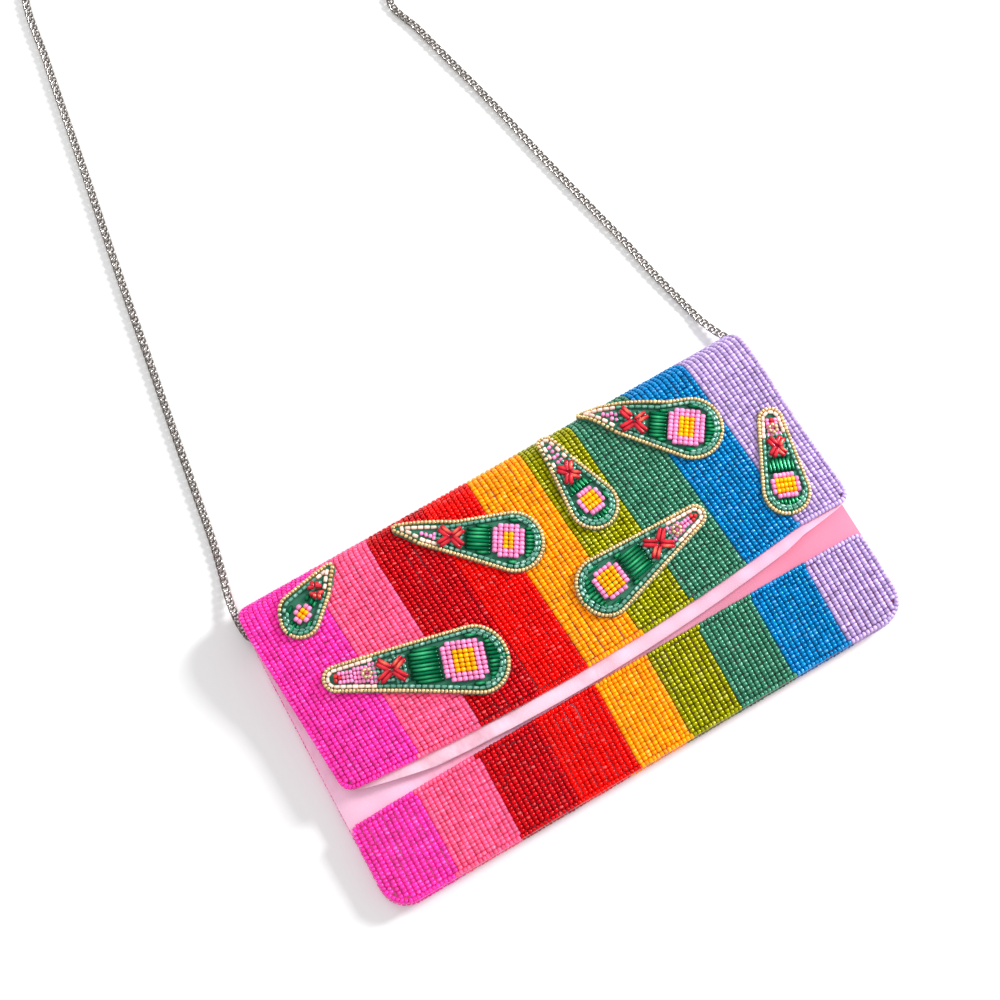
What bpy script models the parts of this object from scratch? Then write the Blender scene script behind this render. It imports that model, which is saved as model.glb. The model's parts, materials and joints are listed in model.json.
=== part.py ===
"""Beaded foldover clutch purse, lying closed on its back, with a detachable curb-chain strap.

Frame: X along the fold, Y from the bottom hem to the fold, Z up, origin at the centre of the
purse's footprint. The purse is a stack of sheets. Each sheet is a grid that is pushed up to a
thickness and laid on one of three surfaces: the flat back, the crowned front, and the flap that
comes over the fold. The stations along a sheet are metres of cloth from the bottom hem.
"""

import math

import bmesh
import bpy
from mathutils import Matrix, Vector

# Outline of the purse.
HALF_HEIGHT = 0.073
HALF_WIDTH_FOLD = 0.127
HALF_WIDTH_HEM = 0.131
BODY_TUCK = 0.0045
TUCK_Y = 0.054
TUCK_LENGTH = 0.010
HEM_DRAWN_IN = 0.0045
CORNER_RADIUS = 0.012
EDGE_REACH = 0.025
FOLD_CORNER_RADIUS = 0.005
MOUTH_Y = 0.058
BAND_TOP_Y = -0.0325

# Flap, closed.
FLAP_HEM_CORNER_Y = -0.0185
FLAP_HEM_BOW = 0.0075
FLAP_HEM_LEFT_X = -0.124
FLAP_HEM_RIGHT_X = 0.1315
FLAP_BOW_X = -0.015
FLAP_BOW_REACH = 0.118
FLAP_CORNER_RADIUS = 0.006
FLAP_LIP = 0.0055

# Heights.
GAP = 0.0003
CROWN = 0.0072
CROWN_POWER = 6
CROWN_RISE = 0.050
MOUTH_SPREAD = 0.60
MOUTH_SPREAD_Y = 0.028
MOUTH_SPREAD_RUN = 0.030
FOLD_SPREAD = 0.75
FOLD_SPREAD_Y = 0.010
FOLD_SPREAD_RUN = 0.048
FLAP_CLEARANCE = 0.0004
FLAP_LIFT = 0.0021
FLAP_LIFT_END_Y = 0.050
HINGE_Z = 0.0088
HINGE_GAP = 0.00025
BACK_FOLD_Y = 0.064
FOLD_ARC = 0.016

# Layers, as lower and upper depth from the surface that each is laid on.
BACK_BEADS = (0.0, 0.0015)
BACK_PANEL = (0.0018, 0.0023)
BACK_INTERLINING = (0.0026, 0.0030)
BACK_LINING = (0.0033, 0.0036)
FRONT_LINING = (0.0039, 0.0042)
FRONT_INTERLINING = (0.0051, 0.0055)
FRONT_PANEL = (0.0058, 0.0064)
BAND_BEADS = (0.0067, 0.0082)
FLAP_LINING = (0.0, 0.0005)
FLAP_INTERLINING = (0.0014, 0.0018)
FLAP_CLOTH = (0.0021, 0.0026)
FLAP_BEADS = (0.0029, 0.0044)
APPLIQUE = (0.0050, 0.0060)

# Stripes: shares of the width at which one colour of beads gives way to the next.
STRIPES = ("magenta", "pink", "dark_red", "red", "orange", "olive", "sea_green", "blue", "lilac")
FLAP_SHARES = (0.0, 0.133, 0.247, 0.360, 0.452, 0.559, 0.661, 0.777, 0.893, 1.0)
BAND_SHARES = (0.0, 0.120, 0.240, 0.353, 0.470, 0.572, 0.671, 0.777, 0.887, 1.0)
STRIPE_GAP = 0.0003
BEAD_MARGIN = 0.0010
SHARP_ANGLE = math.radians(40.0)
LINING_MARGIN = 0.0025
LIP_MARGIN = 0.0012

# Appliques: x and station of the tip circle and of the round end, and the radius of each.
APPLIQUES = (
    ("small_left", (-0.0823, 0.0649), (-0.1040, 0.0549), 0.0022, 0.0092),
    ("upper_left", (-0.0490, 0.0652), (-0.0080, 0.0382), 0.0022, 0.0134),
    ("lower_left", (-0.1036, 0.0250), (-0.0477, 0.0046), 0.0060, 0.0140),
    ("small_middle", (0.0265, 0.0650), (0.0302, 0.0351), 0.0042, 0.0112),
    ("lower_right", (0.0652, 0.0094), (0.0152, 0.0044), 0.0052, 0.0124),
    ("upper_right", (0.0470, 0.0700), (0.0852, 0.0424), 0.0022, 0.0142),
    ("small_right", (0.1175, 0.0285), (0.1062, -0.0022), 0.0062, 0.0112),
)

# Pieces that turn with the flap, by the start of their names.
FLAP_PIECES = ("flap_", "applique_", "snap_stud")

# Magnetic snap.
SNAP_X = -0.0020
SNAP_Y = -0.0050
SNAP_RADIUS = 0.0080
SNAP_HOLE_RADIUS = 0.0031
SNAP_POST_RADIUS = 0.0026
SNAP_SOCKET_HEIGHT = 0.0010
SNAP_STUD_HEIGHT = 0.0005
SNAP_POST_HEIGHT = 0.0009
WASHER_RADIUS = 0.0065
WASHER_HEIGHT = 0.0003

# Strap fittings, laid inside each mouth corner.
FITTING_X = 0.1030
FITTING_Y = 0.0120
FITTING_TURN = math.radians(15.0)
FITTING_Z = 0.0063
RING_WIRE = 0.0011
RING_HALF_WIDTH = 0.0038
RING_LENGTH = 0.0080
TAB_WIDTH = 0.0050
TAB_CLOTH = 0.0004
TAB_LENGTH = 0.0075
HOOK_WIRE = 0.0011
HOOK_RADIUS = 0.0017
HOOK_SLACK = 0.00025
HOOK_RUN = 0.0018
HOOK_TIP = 75.0
BARREL_RADIUS = 0.00125
BARREL_LENGTH = 0.0045
EYE_RADIUS = 0.0019
GATE_WIRE = 0.0008
GATE_LENGTH = 0.0022
GATE_HEIGHT = 0.0016
CHAIN_WIDTH = 0.0038

# Strap route on the table, by hand: from each clasp out past the fold corner, then away.
CHAIN_LEFT = (
    (-0.1083, 0.0319, 0.0063), (-0.1107, 0.0405, 0.0063), (-0.1150, 0.0490, 0.0063),
    (-0.1210, 0.0553, 0.0063), (-0.1264, 0.0606, 0.0062), (-0.1278, 0.0670, 0.0056),
    (-0.1276, 0.0740, 0.0046), (-0.1264, 0.0830, 0.0030), (-0.1240, 0.0930, 0.0020),
    (-0.1205, 0.1090, 0.0019), (-0.1158, 0.1370, 0.0019),
    (-0.1108, 0.1670, 0.0019), (-0.1056, 0.1970, 0.0019), (-0.1006, 0.2270, 0.0019),
    (-0.0951, 0.2580, 0.0019), (-0.0894, 0.2890, 0.0019), (-0.0840, 0.3200, 0.0019),
    (-0.0783, 0.3520, 0.0019), (-0.0718, 0.3860, 0.0019), (-0.0560, 0.4010, 0.0019),
    (-0.0300, 0.4010, 0.0019), (0.0000, 0.3905, 0.0019), (0.0300, 0.3780, 0.0019),
    (0.0560, 0.3680, 0.0019), (0.0732, 0.3613, 0.0019),
)
CHAIN_RIGHT = (
    (0.1083, 0.0319, 0.0063), (0.1107, 0.0405, 0.0063), (0.1150, 0.0490, 0.0063),
    (0.1208, 0.0553, 0.0063), (0.1258, 0.0606, 0.0062), (0.1264, 0.0668, 0.0056),
    (0.1247, 0.0730, 0.0047), (0.1222, 0.0785, 0.0037), (0.1199, 0.0850, 0.0027),
    (0.1180, 0.0930, 0.0020), (0.1158, 0.1030, 0.0019), (0.1124, 0.1190, 0.0019),
    (0.1090, 0.1385, 0.0019), (0.1050, 0.1575, 0.0019), (0.1009, 0.1775, 0.0019),
    (0.0971, 0.1970, 0.0019), (0.0936, 0.2165, 0.0019), (0.0897, 0.2360, 0.0019),
    (0.0850, 0.2570, 0.0019), (0.0806, 0.2770, 0.0019), (0.0762, 0.2970, 0.0019),
    (0.0752, 0.3016, 0.0019),
)
CHAIN_STEP = 0.0092

# Spare strap, wound flat.
COIL_CENTRE = (0.0900, 0.3320)
COIL_INNER_RADIUS = 0.0147
COIL_OUTER_RADIUS = 0.0315
COIL_HEIGHT = 0.0038

COLOURS = {
    "magenta": (0.78, 0.01, 0.39), "pink": (1.0, 0.11, 0.25), "dark_red": (0.43, 0.0, 0.01),
    "red": (0.74, 0.01, 0.0), "orange": (1.0, 0.36, 0.01), "olive": (0.36, 0.37, 0.0),
    "sea_green": (0.05, 0.26, 0.15), "blue": (0.0, 0.18, 0.46), "lilac": (0.46, 0.33, 0.69),
    "velvet": (0.91, 0.39, 0.55), "cloth": (0.85, 0.25, 0.40), "lining": (0.88, 0.48, 0.60),
    "interlining": (0.85, 0.83, 0.79), "applique": (0.05, 0.30, 0.15), "nickel": (0.60, 0.57, 0.53),
}


def smooth(value):
    """Ease from 0 to 1."""
    share = min(1.0, max(0.0, value))
    return share * share * (3.0 - 2.0 * share)


def mix(low, high, share):
    """Between low and high, at a share of the way."""
    return low + (high - low) * share


def rounding(distance, radius):
    """How far a rounded corner draws in at this distance from the edge."""
    if distance >= radius:
        return 0.0
    return radius - math.sqrt(max(0.0, radius ** 2 - (radius - max(0.0, distance)) ** 2))


def half_width(y):
    """Half the purse's width, with rounded corners at the fold."""
    width = mix(HALF_WIDTH_HEM, HALF_WIDTH_FOLD, (y + HALF_HEIGHT) / (2 * HALF_HEIGHT))
    return width - rounding(HALF_HEIGHT - y, FOLD_CORNER_RADIUS)


def crown(x, y):
    """Share of the full crown: none at the side seams and bottom hem, open at the mouth."""
    across = 1.0 - min(1.0, abs(x) / HALF_WIDTH_HEM) ** CROWN_POWER
    along = math.sin(math.pi / 2 * min(1.0, max(0.0, (y + HALF_HEIGHT) / CROWN_RISE)))
    body = across * along
    return body + (1.0 - body) * MOUTH_SPREAD * smooth((y - MOUTH_SPREAD_Y) / MOUTH_SPREAD_RUN)


def flap_underside(x, y):
    """Height of the flap's underside, over the front and over the snap."""
    share = crown(x, y)
    share += (1.0 - share) * FOLD_SPREAD * smooth((y - FOLD_SPREAD_Y) / FOLD_SPREAD_RUN)
    lift = FLAP_LIFT * (1.0 - min(1.0, abs(x) / HALF_WIDTH_HEM) ** 3)
    lift *= smooth((FLAP_LIFT_END_Y - y) / FLAP_LIFT_END_Y)
    return FRONT_PANEL[1] + FLAP_CLEARANCE + CROWN * share + lift


def flap_edge(side, y):
    """Straight side of the flap, which hangs slightly askew."""
    hem_x = FLAP_HEM_RIGHT_X if side > 0 else -FLAP_HEM_LEFT_X
    share = min(1.0, (MOUTH_Y - y) / (MOUTH_Y - FLAP_HEM_CORNER_Y))
    return side * mix(half_width(MOUTH_Y), hem_x, share)


def body_edges(station):
    """Left and right edge of the back and the front.

    Both are tucked in under the flap's fold, and the hem is drawn in at its right end.
    """
    width = half_width(station) - BODY_TUCK * smooth((station - TUCK_Y) / TUCK_LENGTH)
    drawn = HEM_DRAWN_IN * (HALF_HEIGHT - station) / (2 * HALF_HEIGHT)
    return -width, width - max(0.0, drawn)


def flap_edges(station):
    """Left and right edge of the flap, on the front and round the fold."""
    if station >= MOUTH_Y:
        y = MOUTH_Y + (HALF_HEIGHT - MOUTH_Y) * math.sin(fold_angle(station, MOUTH_Y))
        return -half_width(y), half_width(y)
    return flap_edge(-1, station), flap_edge(1, station)


def fold_angle(station, start):
    """How far round the fold a station lies, in radians."""
    return math.pi / 2 * min(1.0, (station - start) / FOLD_ARC)


def on_back(x, station, depth):
    """Point on the flat back, which turns up at the fold."""
    if station <= BACK_FOLD_Y:
        return Vector((x, station, depth))
    angle = fold_angle(station, BACK_FOLD_Y)
    reach = HALF_HEIGHT - BACK_FOLD_Y - depth
    rise = HINGE_Z - HINGE_GAP - depth
    return Vector((x, BACK_FOLD_Y + reach * math.sin(angle), depth + rise * (1.0 - math.cos(angle))))


def on_front(x, station, depth):
    """Point on the crowned front."""
    return Vector((x, station, depth + CROWN * crown(x, station)))


def on_flap(x, station, depth):
    """Point on the flap: over the front, then round the upper half of the fold."""
    if station <= MOUTH_Y:
        fall = (MOUTH_Y - station) / (MOUTH_Y - FLAP_HEM_CORNER_Y)
        bow = 1.0 - min(1.0, ((x - FLAP_BOW_X) / FLAP_BOW_REACH) ** 2)
        y = station - FLAP_HEM_BOW * bow * fall ** 2
        return Vector((x, y, flap_underside(x, y) + depth))
    angle = fold_angle(station, MOUTH_Y)
    reach = HALF_HEIGHT - MOUTH_Y - FLAP_BEADS[1] + depth
    low = HINGE_Z + HINGE_GAP
    rise = flap_underside(x, MOUTH_Y) + depth - low
    return Vector((x, MOUTH_Y + reach * math.sin(angle), low + rise * math.cos(angle)))


def stations(start, end, fold_start, spacing=0.017, corner=CORNER_RADIUS):
    """Rows of a sheet: close at a rounded hem corner and round the fold, wide between."""
    rows = [start + corner * (1.0 - math.cos(math.radians(step * 30))) for step in range(4)]
    last = min(end, fold_start)
    count = max(1, round((last - rows[-1]) / spacing))
    rows += [mix(rows[-1], last, (index + 1) / count) for index in range(count)]
    if end > fold_start:
        rows += [fold_start + FOLD_ARC * step / 5 for step in range(1, 6)]
    return rows


def columns(shares):
    """Columns of a sheet: one cell a stripe, and finer next to the side seams."""
    first = [shares[1] * share for share in (0.0, 0.12, 0.30, 0.60)]
    last = [1.0 - (1.0 - shares[-2]) * share for share in (0.60, 0.30, 0.12, 0.0)]
    return first + list(shares[1:-1]) + last


def collection(name):
    """A new collection in the scene."""
    group = bpy.data.collections.new(name)
    bpy.context.scene.collection.children.link(group)
    return group


def material(name, roughness, metallic=0.0):
    """The material of this name, made the first time it is asked for."""
    found = bpy.data.materials.get(name)
    if found:
        return found
    made = bpy.data.materials.new(name)
    made.use_nodes = True
    shader = made.node_tree.nodes["Principled BSDF"]
    shader.inputs["Base Color"].default_value = (*COLOURS[name], 1.0)
    shader.inputs["Roughness"].default_value = roughness
    shader.inputs["Metallic"].default_value = metallic
    return made


def place(name, mesh, finish, parts):
    """Turn a bmesh into a named object in the part's collection."""
    data = bpy.data.meshes.new(name)
    mesh.to_mesh(data)
    mesh.free()
    data.materials.append(finish)
    made = bpy.data.objects.new(name, data)
    parts.objects.link(made)
    return made


def shade_round(made):
    """Shade a round piece smooth, with its hard edges kept sharp."""
    made.data.shade_smooth()
    made.data.set_sharp_from_angle(angle=SHARP_ANGLE)
    return made


def set_origin(made, point):
    """Move an object's origin to a point on its joint's axis."""
    made.data.transform(Matrix.Translation(-Vector(point)))
    made.location = point


def drawn_in(x, left, right, drawn):
    """Move a place inwards near either side edge, by the full amount at the edge itself."""
    from_left = max(0.0, 1.0 - (x - left) / EDGE_REACH)
    from_right = max(0.0, 1.0 - (right - x) / EDGE_REACH)
    return x + drawn * (from_left - from_right)


def sheet(name, surface, rows, cells, edges, depths, finish, parts, margin=0.0, corner=CORNER_RADIUS):
    """A sheet of even thickness: a grid pushed up from its lower depth to its upper depth.

    Its columns are the shares in cells, its rows the stations in rows. Its side edges are drawn
    in by the margin and round the hem's corners.
    """
    mesh = bmesh.new()
    bmesh.ops.create_grid(mesh, x_segments=len(cells) - 1, y_segments=len(rows) - 1, size=0.5)
    bmesh.ops.triangulate(mesh, faces=mesh.faces[:], quad_method="FIXED")
    lower = mesh.verts[:]
    pushed = bmesh.ops.extrude_face_region(mesh, geom=mesh.faces[:])["geom"]
    upper = [item for item in pushed if isinstance(item, bmesh.types.BMVert)]
    for depth, verts in ((depths[0], lower), (depths[1], upper)):
        for vert in verts:
            share = cells[round((vert.co.x + 0.5) * (len(cells) - 1))]
            station = rows[round((vert.co.y + 0.5) * (len(rows) - 1))]
            left, right = edges(station)
            x = mix(left, right, share)
            if share == cells[0]:
                x += STRIPE_GAP / 2
            if share == cells[-1]:
                x -= STRIPE_GAP / 2
            drawn = margin + rounding(station - rows[0], corner)
            vert.co = surface(drawn_in(x, left, right, drawn), station, depth)
    bmesh.ops.recalc_face_normals(mesh, faces=mesh.faces[:])
    return place(name, mesh, finish, parts)


def bead_stripes(prefix, surface, rows, shares, edges, depths, parts, corner=CORNER_RADIUS):
    """Nine stripes of beads side by side."""
    cells = columns(shares)
    for index, colour in enumerate(STRIPES):
        inside = [share for share in cells if shares[index] - 1e-9 <= share <= shares[index + 1] + 1e-9]
        sheet(prefix + "_" + colour, surface, rows, inside, edges, depths,
              material(colour, 0.25), parts, margin=BEAD_MARGIN, corner=corner)


def back_layers(parts):
    """The back's beads, cloth, interlining and lining, from the table upwards."""
    rows = stations(-HALF_HEIGHT + BEAD_MARGIN, BACK_FOLD_Y + FOLD_ARC, BACK_FOLD_Y, spacing=0.06)
    bead_stripes("back_beads", on_back, rows, FLAP_SHARES, body_edges, BACK_BEADS, parts)
    rows = stations(-HALF_HEIGHT, BACK_FOLD_Y + FOLD_ARC, BACK_FOLD_Y, spacing=0.06)
    sheet("back_panel", on_back, rows, columns(FLAP_SHARES), body_edges, BACK_PANEL,
          material("cloth", 0.8), parts)
    inner = stations(-HALF_HEIGHT + LINING_MARGIN, BACK_FOLD_Y - 0.002, BACK_FOLD_Y, spacing=0.06)
    for name, depths in (("back_interlining", BACK_INTERLINING), ("back_lining", BACK_LINING)):
        sheet(name, on_back, inner, (0.0, 0.08, 0.5, 0.92, 1.0), body_edges, depths,
              material(name.split("_")[1], 0.9), parts, margin=LINING_MARGIN)


def front_layers(parts):
    """The front's lining, interlining and velvet, and the band of beads along its hem."""
    cells = columns(BAND_SHARES)
    inner = stations(-HALF_HEIGHT + LINING_MARGIN, MOUTH_Y, MOUTH_Y + 1.0, spacing=0.015)
    for name, depths in (("front_lining", FRONT_LINING), ("front_interlining", FRONT_INTERLINING)):
        sheet(name, on_front, inner, cells, body_edges, depths,
              material(name.split("_")[1], 0.9), parts, margin=LINING_MARGIN)
    rows = stations(-HALF_HEIGHT, MOUTH_Y, MOUTH_Y + 1.0, spacing=0.015)
    sheet("front_panel", on_front, rows, cells, body_edges, FRONT_PANEL,
          material("velvet", 0.85), parts)
    rows = stations(-HALF_HEIGHT + BEAD_MARGIN, BAND_TOP_Y, BAND_TOP_Y + 1.0, spacing=0.011)
    bead_stripes("band_beads", on_front, rows, BAND_SHARES, body_edges, BAND_BEADS, parts)


def flap_layers(parts):
    """The flap's lining, interlining, cloth and beads, from the front upwards."""
    cells = columns(FLAP_SHARES)
    layers = (("flap_lining", -FLAP_LIP, FLAP_LINING, "velvet", LIP_MARGIN),
              ("flap_interlining", LINING_MARGIN, FLAP_INTERLINING, "interlining", LINING_MARGIN),
              ("flap_cloth", 0.0, FLAP_CLOTH, "cloth", 0.0))
    for name, inset, depths, finish, margin in layers:
        sheet(name, on_flap, flap_rows(inset), cells, flap_edges, depths,
              material(finish, 0.85), parts, margin=margin, corner=FLAP_CORNER_RADIUS)
    bead_stripes("flap_beads", on_flap, flap_rows(BEAD_MARGIN / 2), FLAP_SHARES, flap_edges,
                 FLAP_BEADS, parts, corner=FLAP_CORNER_RADIUS)


def flap_rows(inset):
    """Rows of a layer of the flap, from its hem to the middle of the fold."""
    return stations(FLAP_HEM_CORNER_Y + inset, MOUTH_Y + FOLD_ARC, MOUTH_Y, spacing=0.014,
                    corner=FLAP_CORNER_RADIUS)


def applique(name, tip, end, tip_radius, end_radius, parts):
    """A raised teardrop on the flap, from a narrow tip to a round end."""
    along_cells = 14
    across_cells = 4
    start = Vector(tip)
    axis = Vector(end) - start
    length = axis.length
    axis.normalize()
    side = Vector((-axis.y, axis.x))
    mesh = bmesh.new()
    bmesh.ops.create_grid(mesh, x_segments=along_cells, y_segments=across_cells, size=0.5)
    bmesh.ops.triangulate(mesh, faces=mesh.faces[:], quad_method="FIXED")
    lower = mesh.verts[:]
    pushed = bmesh.ops.extrude_face_region(mesh, geom=mesh.faces[:])["geom"]
    upper = [item for item in pushed if isinstance(item, bmesh.types.BMVert)]
    body = (tip_radius + length) / (tip_radius + length + end_radius)
    for depth, verts in ((APPLIQUE[0], lower), (APPLIQUE[1], upper)):
        for vert in verts:
            share = vert.co.x + 0.5
            if share <= body:
                reach = mix(-tip_radius, length, share / body)
                half = mix(tip_radius, end_radius, smooth(0.15 + 0.85 * share / body) ** 0.8)
                if share < 1e-6:
                    half = tip_radius * 0.5
            else:
                turn = math.pi / 2 * (share - body) / (1.0 - body) * 0.86
                reach = length + end_radius * math.sin(turn)
                half = end_radius * math.cos(turn)
            spot = start + axis * reach + side * (2.0 * vert.co.y * half)
            vert.co = on_flap(spot.x, spot.y, depth)
    bmesh.ops.recalc_face_normals(mesh, faces=mesh.faces[:])
    return place("applique_" + name, mesh, material("applique", 0.3), parts)


def disc(name, centre, tilt, radius, height, parts, hole=0.0, segments=24):
    """A flat disc on a tilted spot, with an optional hole through it."""
    mesh = bmesh.new()
    bmesh.ops.create_circle(mesh, cap_ends=hole == 0.0, segments=segments, radius=radius)
    if hole:
        outer = mesh.edges[:]
        bmesh.ops.create_circle(mesh, cap_ends=False, segments=segments, radius=hole)
        inner = [edge for edge in mesh.edges if edge not in outer]
        bmesh.ops.bridge_loops(mesh, edges=outer + inner)
    pushed = bmesh.ops.extrude_face_region(mesh, geom=mesh.faces[:])["geom"]
    lifted = [item for item in pushed if isinstance(item, bmesh.types.BMVert)]
    bmesh.ops.translate(mesh, verts=lifted, vec=(0.0, 0.0, height))
    bmesh.ops.recalc_face_normals(mesh, faces=mesh.faces[:])
    bmesh.ops.transform(mesh, verts=mesh.verts[:], matrix=Matrix.Translation(centre) @ tilt)
    return shade_round(place(name, mesh, material("nickel", 0.3, 1.0), parts))


def tilt_of(surface):
    """Turn that lays a flat disc along the surface at the snap."""
    reach = 0.004
    low = surface(SNAP_X, SNAP_Y - reach, 0.0)
    high = surface(SNAP_X, SNAP_Y + reach, 0.0)
    return Matrix.Rotation(math.atan2(high.z - low.z, high.y - low.y), 4, "X")


def snap(parts):
    """Magnetic snap: a socket on the front, a stud under the flap, and their backing washers."""
    front = tilt_of(on_front)
    socket = on_front(SNAP_X, SNAP_Y, FRONT_PANEL[1] + GAP)
    disc("snap_socket", socket, front, SNAP_RADIUS, SNAP_SOCKET_HEIGHT, parts, hole=SNAP_HOLE_RADIUS)
    washer = on_front(SNAP_X, SNAP_Y, FRONT_LINING[1] + GAP)
    disc("snap_socket_washer", washer, front, WASHER_RADIUS, WASHER_HEIGHT, parts)
    flap = tilt_of(lambda x, y, depth: Vector((x, y, flap_underside(x, y) + depth)))
    under = flap_underside(SNAP_X, SNAP_Y)
    plate = Vector((SNAP_X, SNAP_Y, under - GAP - SNAP_STUD_HEIGHT))
    stud = disc("snap_stud", plate, flap, SNAP_RADIUS, SNAP_STUD_HEIGHT, parts)
    post = disc("snap_post", plate + Vector((0, 0, -SNAP_POST_HEIGHT)), flap, SNAP_POST_RADIUS,
                SNAP_POST_HEIGHT + SNAP_STUD_HEIGHT / 2, parts)
    join(stud, post)
    washer = Vector((SNAP_X, SNAP_Y, under + FLAP_LINING[1] + GAP))
    disc("snap_stud_washer", washer, flap, WASHER_RADIUS, WASHER_HEIGHT, parts)


def join(target, tool):
    """Fuse one solid into another and drop the loose one."""
    fuse = target.modifiers.new("join", "BOOLEAN")
    fuse.operation = "UNION"
    fuse.solver = "EXACT"
    fuse.object = tool
    depsgraph = bpy.context.evaluated_depsgraph_get()
    fused = bpy.data.meshes.new_from_object(target.evaluated_get(depsgraph))
    target.modifiers.clear()
    target.data = fused
    shade_round(target)
    bpy.data.objects.remove(tool)


def wire(name, points, radius, parts, cyclic=False, sides=2, finish=None):
    """A round wire through points, with filled ends."""
    curve = bpy.data.curves.new(name, "CURVE")
    curve.dimensions = "3D"
    curve.bevel_depth = radius
    curve.bevel_resolution = sides
    curve.use_fill_caps = True
    spline = curve.splines.new("POLY")
    spline.points.add(len(points) - 1)
    for point, co in zip(spline.points, points):
        point.co = (*co, 1.0)
    spline.use_cyclic_u = cyclic
    curve.materials.append(finish or material("nickel", 0.3, 1.0))
    made = bpy.data.objects.new(name, curve)
    parts.objects.link(made)
    return made


def arc(centre, radius, start, end, steps):
    """Points round an arc in the fitting's own plane, angles in degrees."""
    turns = [math.radians(mix(start, end, step / steps)) for step in range(steps + 1)]
    return [Vector((centre[0] + radius * math.cos(turn), centre[1] + radius * math.sin(turn), 0.0))
            for turn in turns]


def fitting_frame(side):
    """Where a strap fitting lies: its local +Y points from the tab to the mouth's corner."""
    spot = Matrix.Translation((side * FITTING_X, FITTING_Y, FITTING_Z))
    return spot @ Matrix.Rotation(side * -FITTING_TURN, 4, "Z")


def bake_wire(made, frame):
    """Make a wire a closed mesh and lay it in a fitting's frame."""
    depsgraph = bpy.context.evaluated_depsgraph_get()
    data = bpy.data.meshes.new_from_object(made.evaluated_get(depsgraph))
    name = made.name
    group = made.users_collection[0]
    bpy.data.objects.remove(made)
    mesh = bmesh.new()
    mesh.from_mesh(data)
    bmesh.ops.remove_doubles(mesh, verts=mesh.verts[:], dist=1e-6)
    bmesh.ops.transform(mesh, verts=mesh.verts[:], matrix=frame)
    finish = data.materials[0]
    bpy.data.meshes.remove(data)
    return shade_round(place(name, mesh, finish, group))


def ring_tab(label, frame, parts):
    """A loop of ribbon sewn to the lining, folded round the ring's straight bar."""
    inner = RING_WIRE / 2 + GAP
    outline = [Vector((0.0, -TAB_LENGTH, -inner)), Vector((0.0, -0.0012, -inner))]
    outline += [Vector((0.0, inner * math.sin(turn), -inner * math.cos(turn)))
                for turn in [math.pi * step / 8 for step in range(9)]]
    outline += [Vector((0.0, -0.0012, inner)), Vector((0.0, -TAB_LENGTH, inner))]
    mesh = bmesh.new()
    verts = [mesh.verts.new(point) for point in outline]
    edges = [mesh.edges.new(pair) for pair in zip(verts, verts[1:])]
    swept = bmesh.ops.extrude_edge_only(mesh, edges=edges)["geom"]
    far = [item for item in swept if isinstance(item, bmesh.types.BMVert)]
    bmesh.ops.translate(mesh, verts=far, vec=(TAB_WIDTH, 0.0, 0.0))
    bmesh.ops.translate(mesh, verts=mesh.verts[:], vec=(-TAB_WIDTH / 2, 0.0, 0.0))
    bmesh.ops.recalc_face_normals(mesh, faces=mesh.faces[:])
    bmesh.ops.transform(mesh, verts=mesh.verts[:], matrix=frame)
    made = place("ring_tab_" + label, mesh, material("velvet", 0.85), parts)
    wall = made.modifiers.new("ribbon", "SOLIDIFY")
    wall.thickness = TAB_CLOTH
    wall.offset = 1.0 if tab_faces_out(made, frame) else -1.0
    return made


def tab_faces_out(made, frame):
    """Whether the folded ribbon's faces point away from the ring's bar."""
    centre = frame @ Vector((0.0, 0.0, 0.0))
    face = max(made.data.polygons, key=lambda item: (item.center - centre).dot(frame.to_3x3().col[1]))
    return face.normal.dot(face.center - centre) > 0


def ring(label, frame, parts):
    """A D-shaped ring: a straight bar in the tab and a bow for the clasp."""
    bow = RING_LENGTH - RING_HALF_WIDTH
    points = arc((0.0, bow), RING_HALF_WIDTH, 0, 180, 8)
    points += [Vector((-RING_HALF_WIDTH, 0.0012, 0.0)), Vector((-RING_HALF_WIDTH + 0.0008, 0.0, 0.0))]
    points += [Vector((0.0, 0.0, 0.0))]
    points += [Vector((RING_HALF_WIDTH - 0.0008, 0.0, 0.0)), Vector((RING_HALF_WIDTH, 0.0012, 0.0))]
    made = bake_wire(wire("ring_" + label, points, RING_WIRE / 2, parts, cyclic=True), frame)
    set_origin(made, frame.translation)
    return made


def hook_centre():
    """Distance from the ring's bar to the middle of the hook's bend."""
    return RING_LENGTH + HOOK_SLACK


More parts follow.
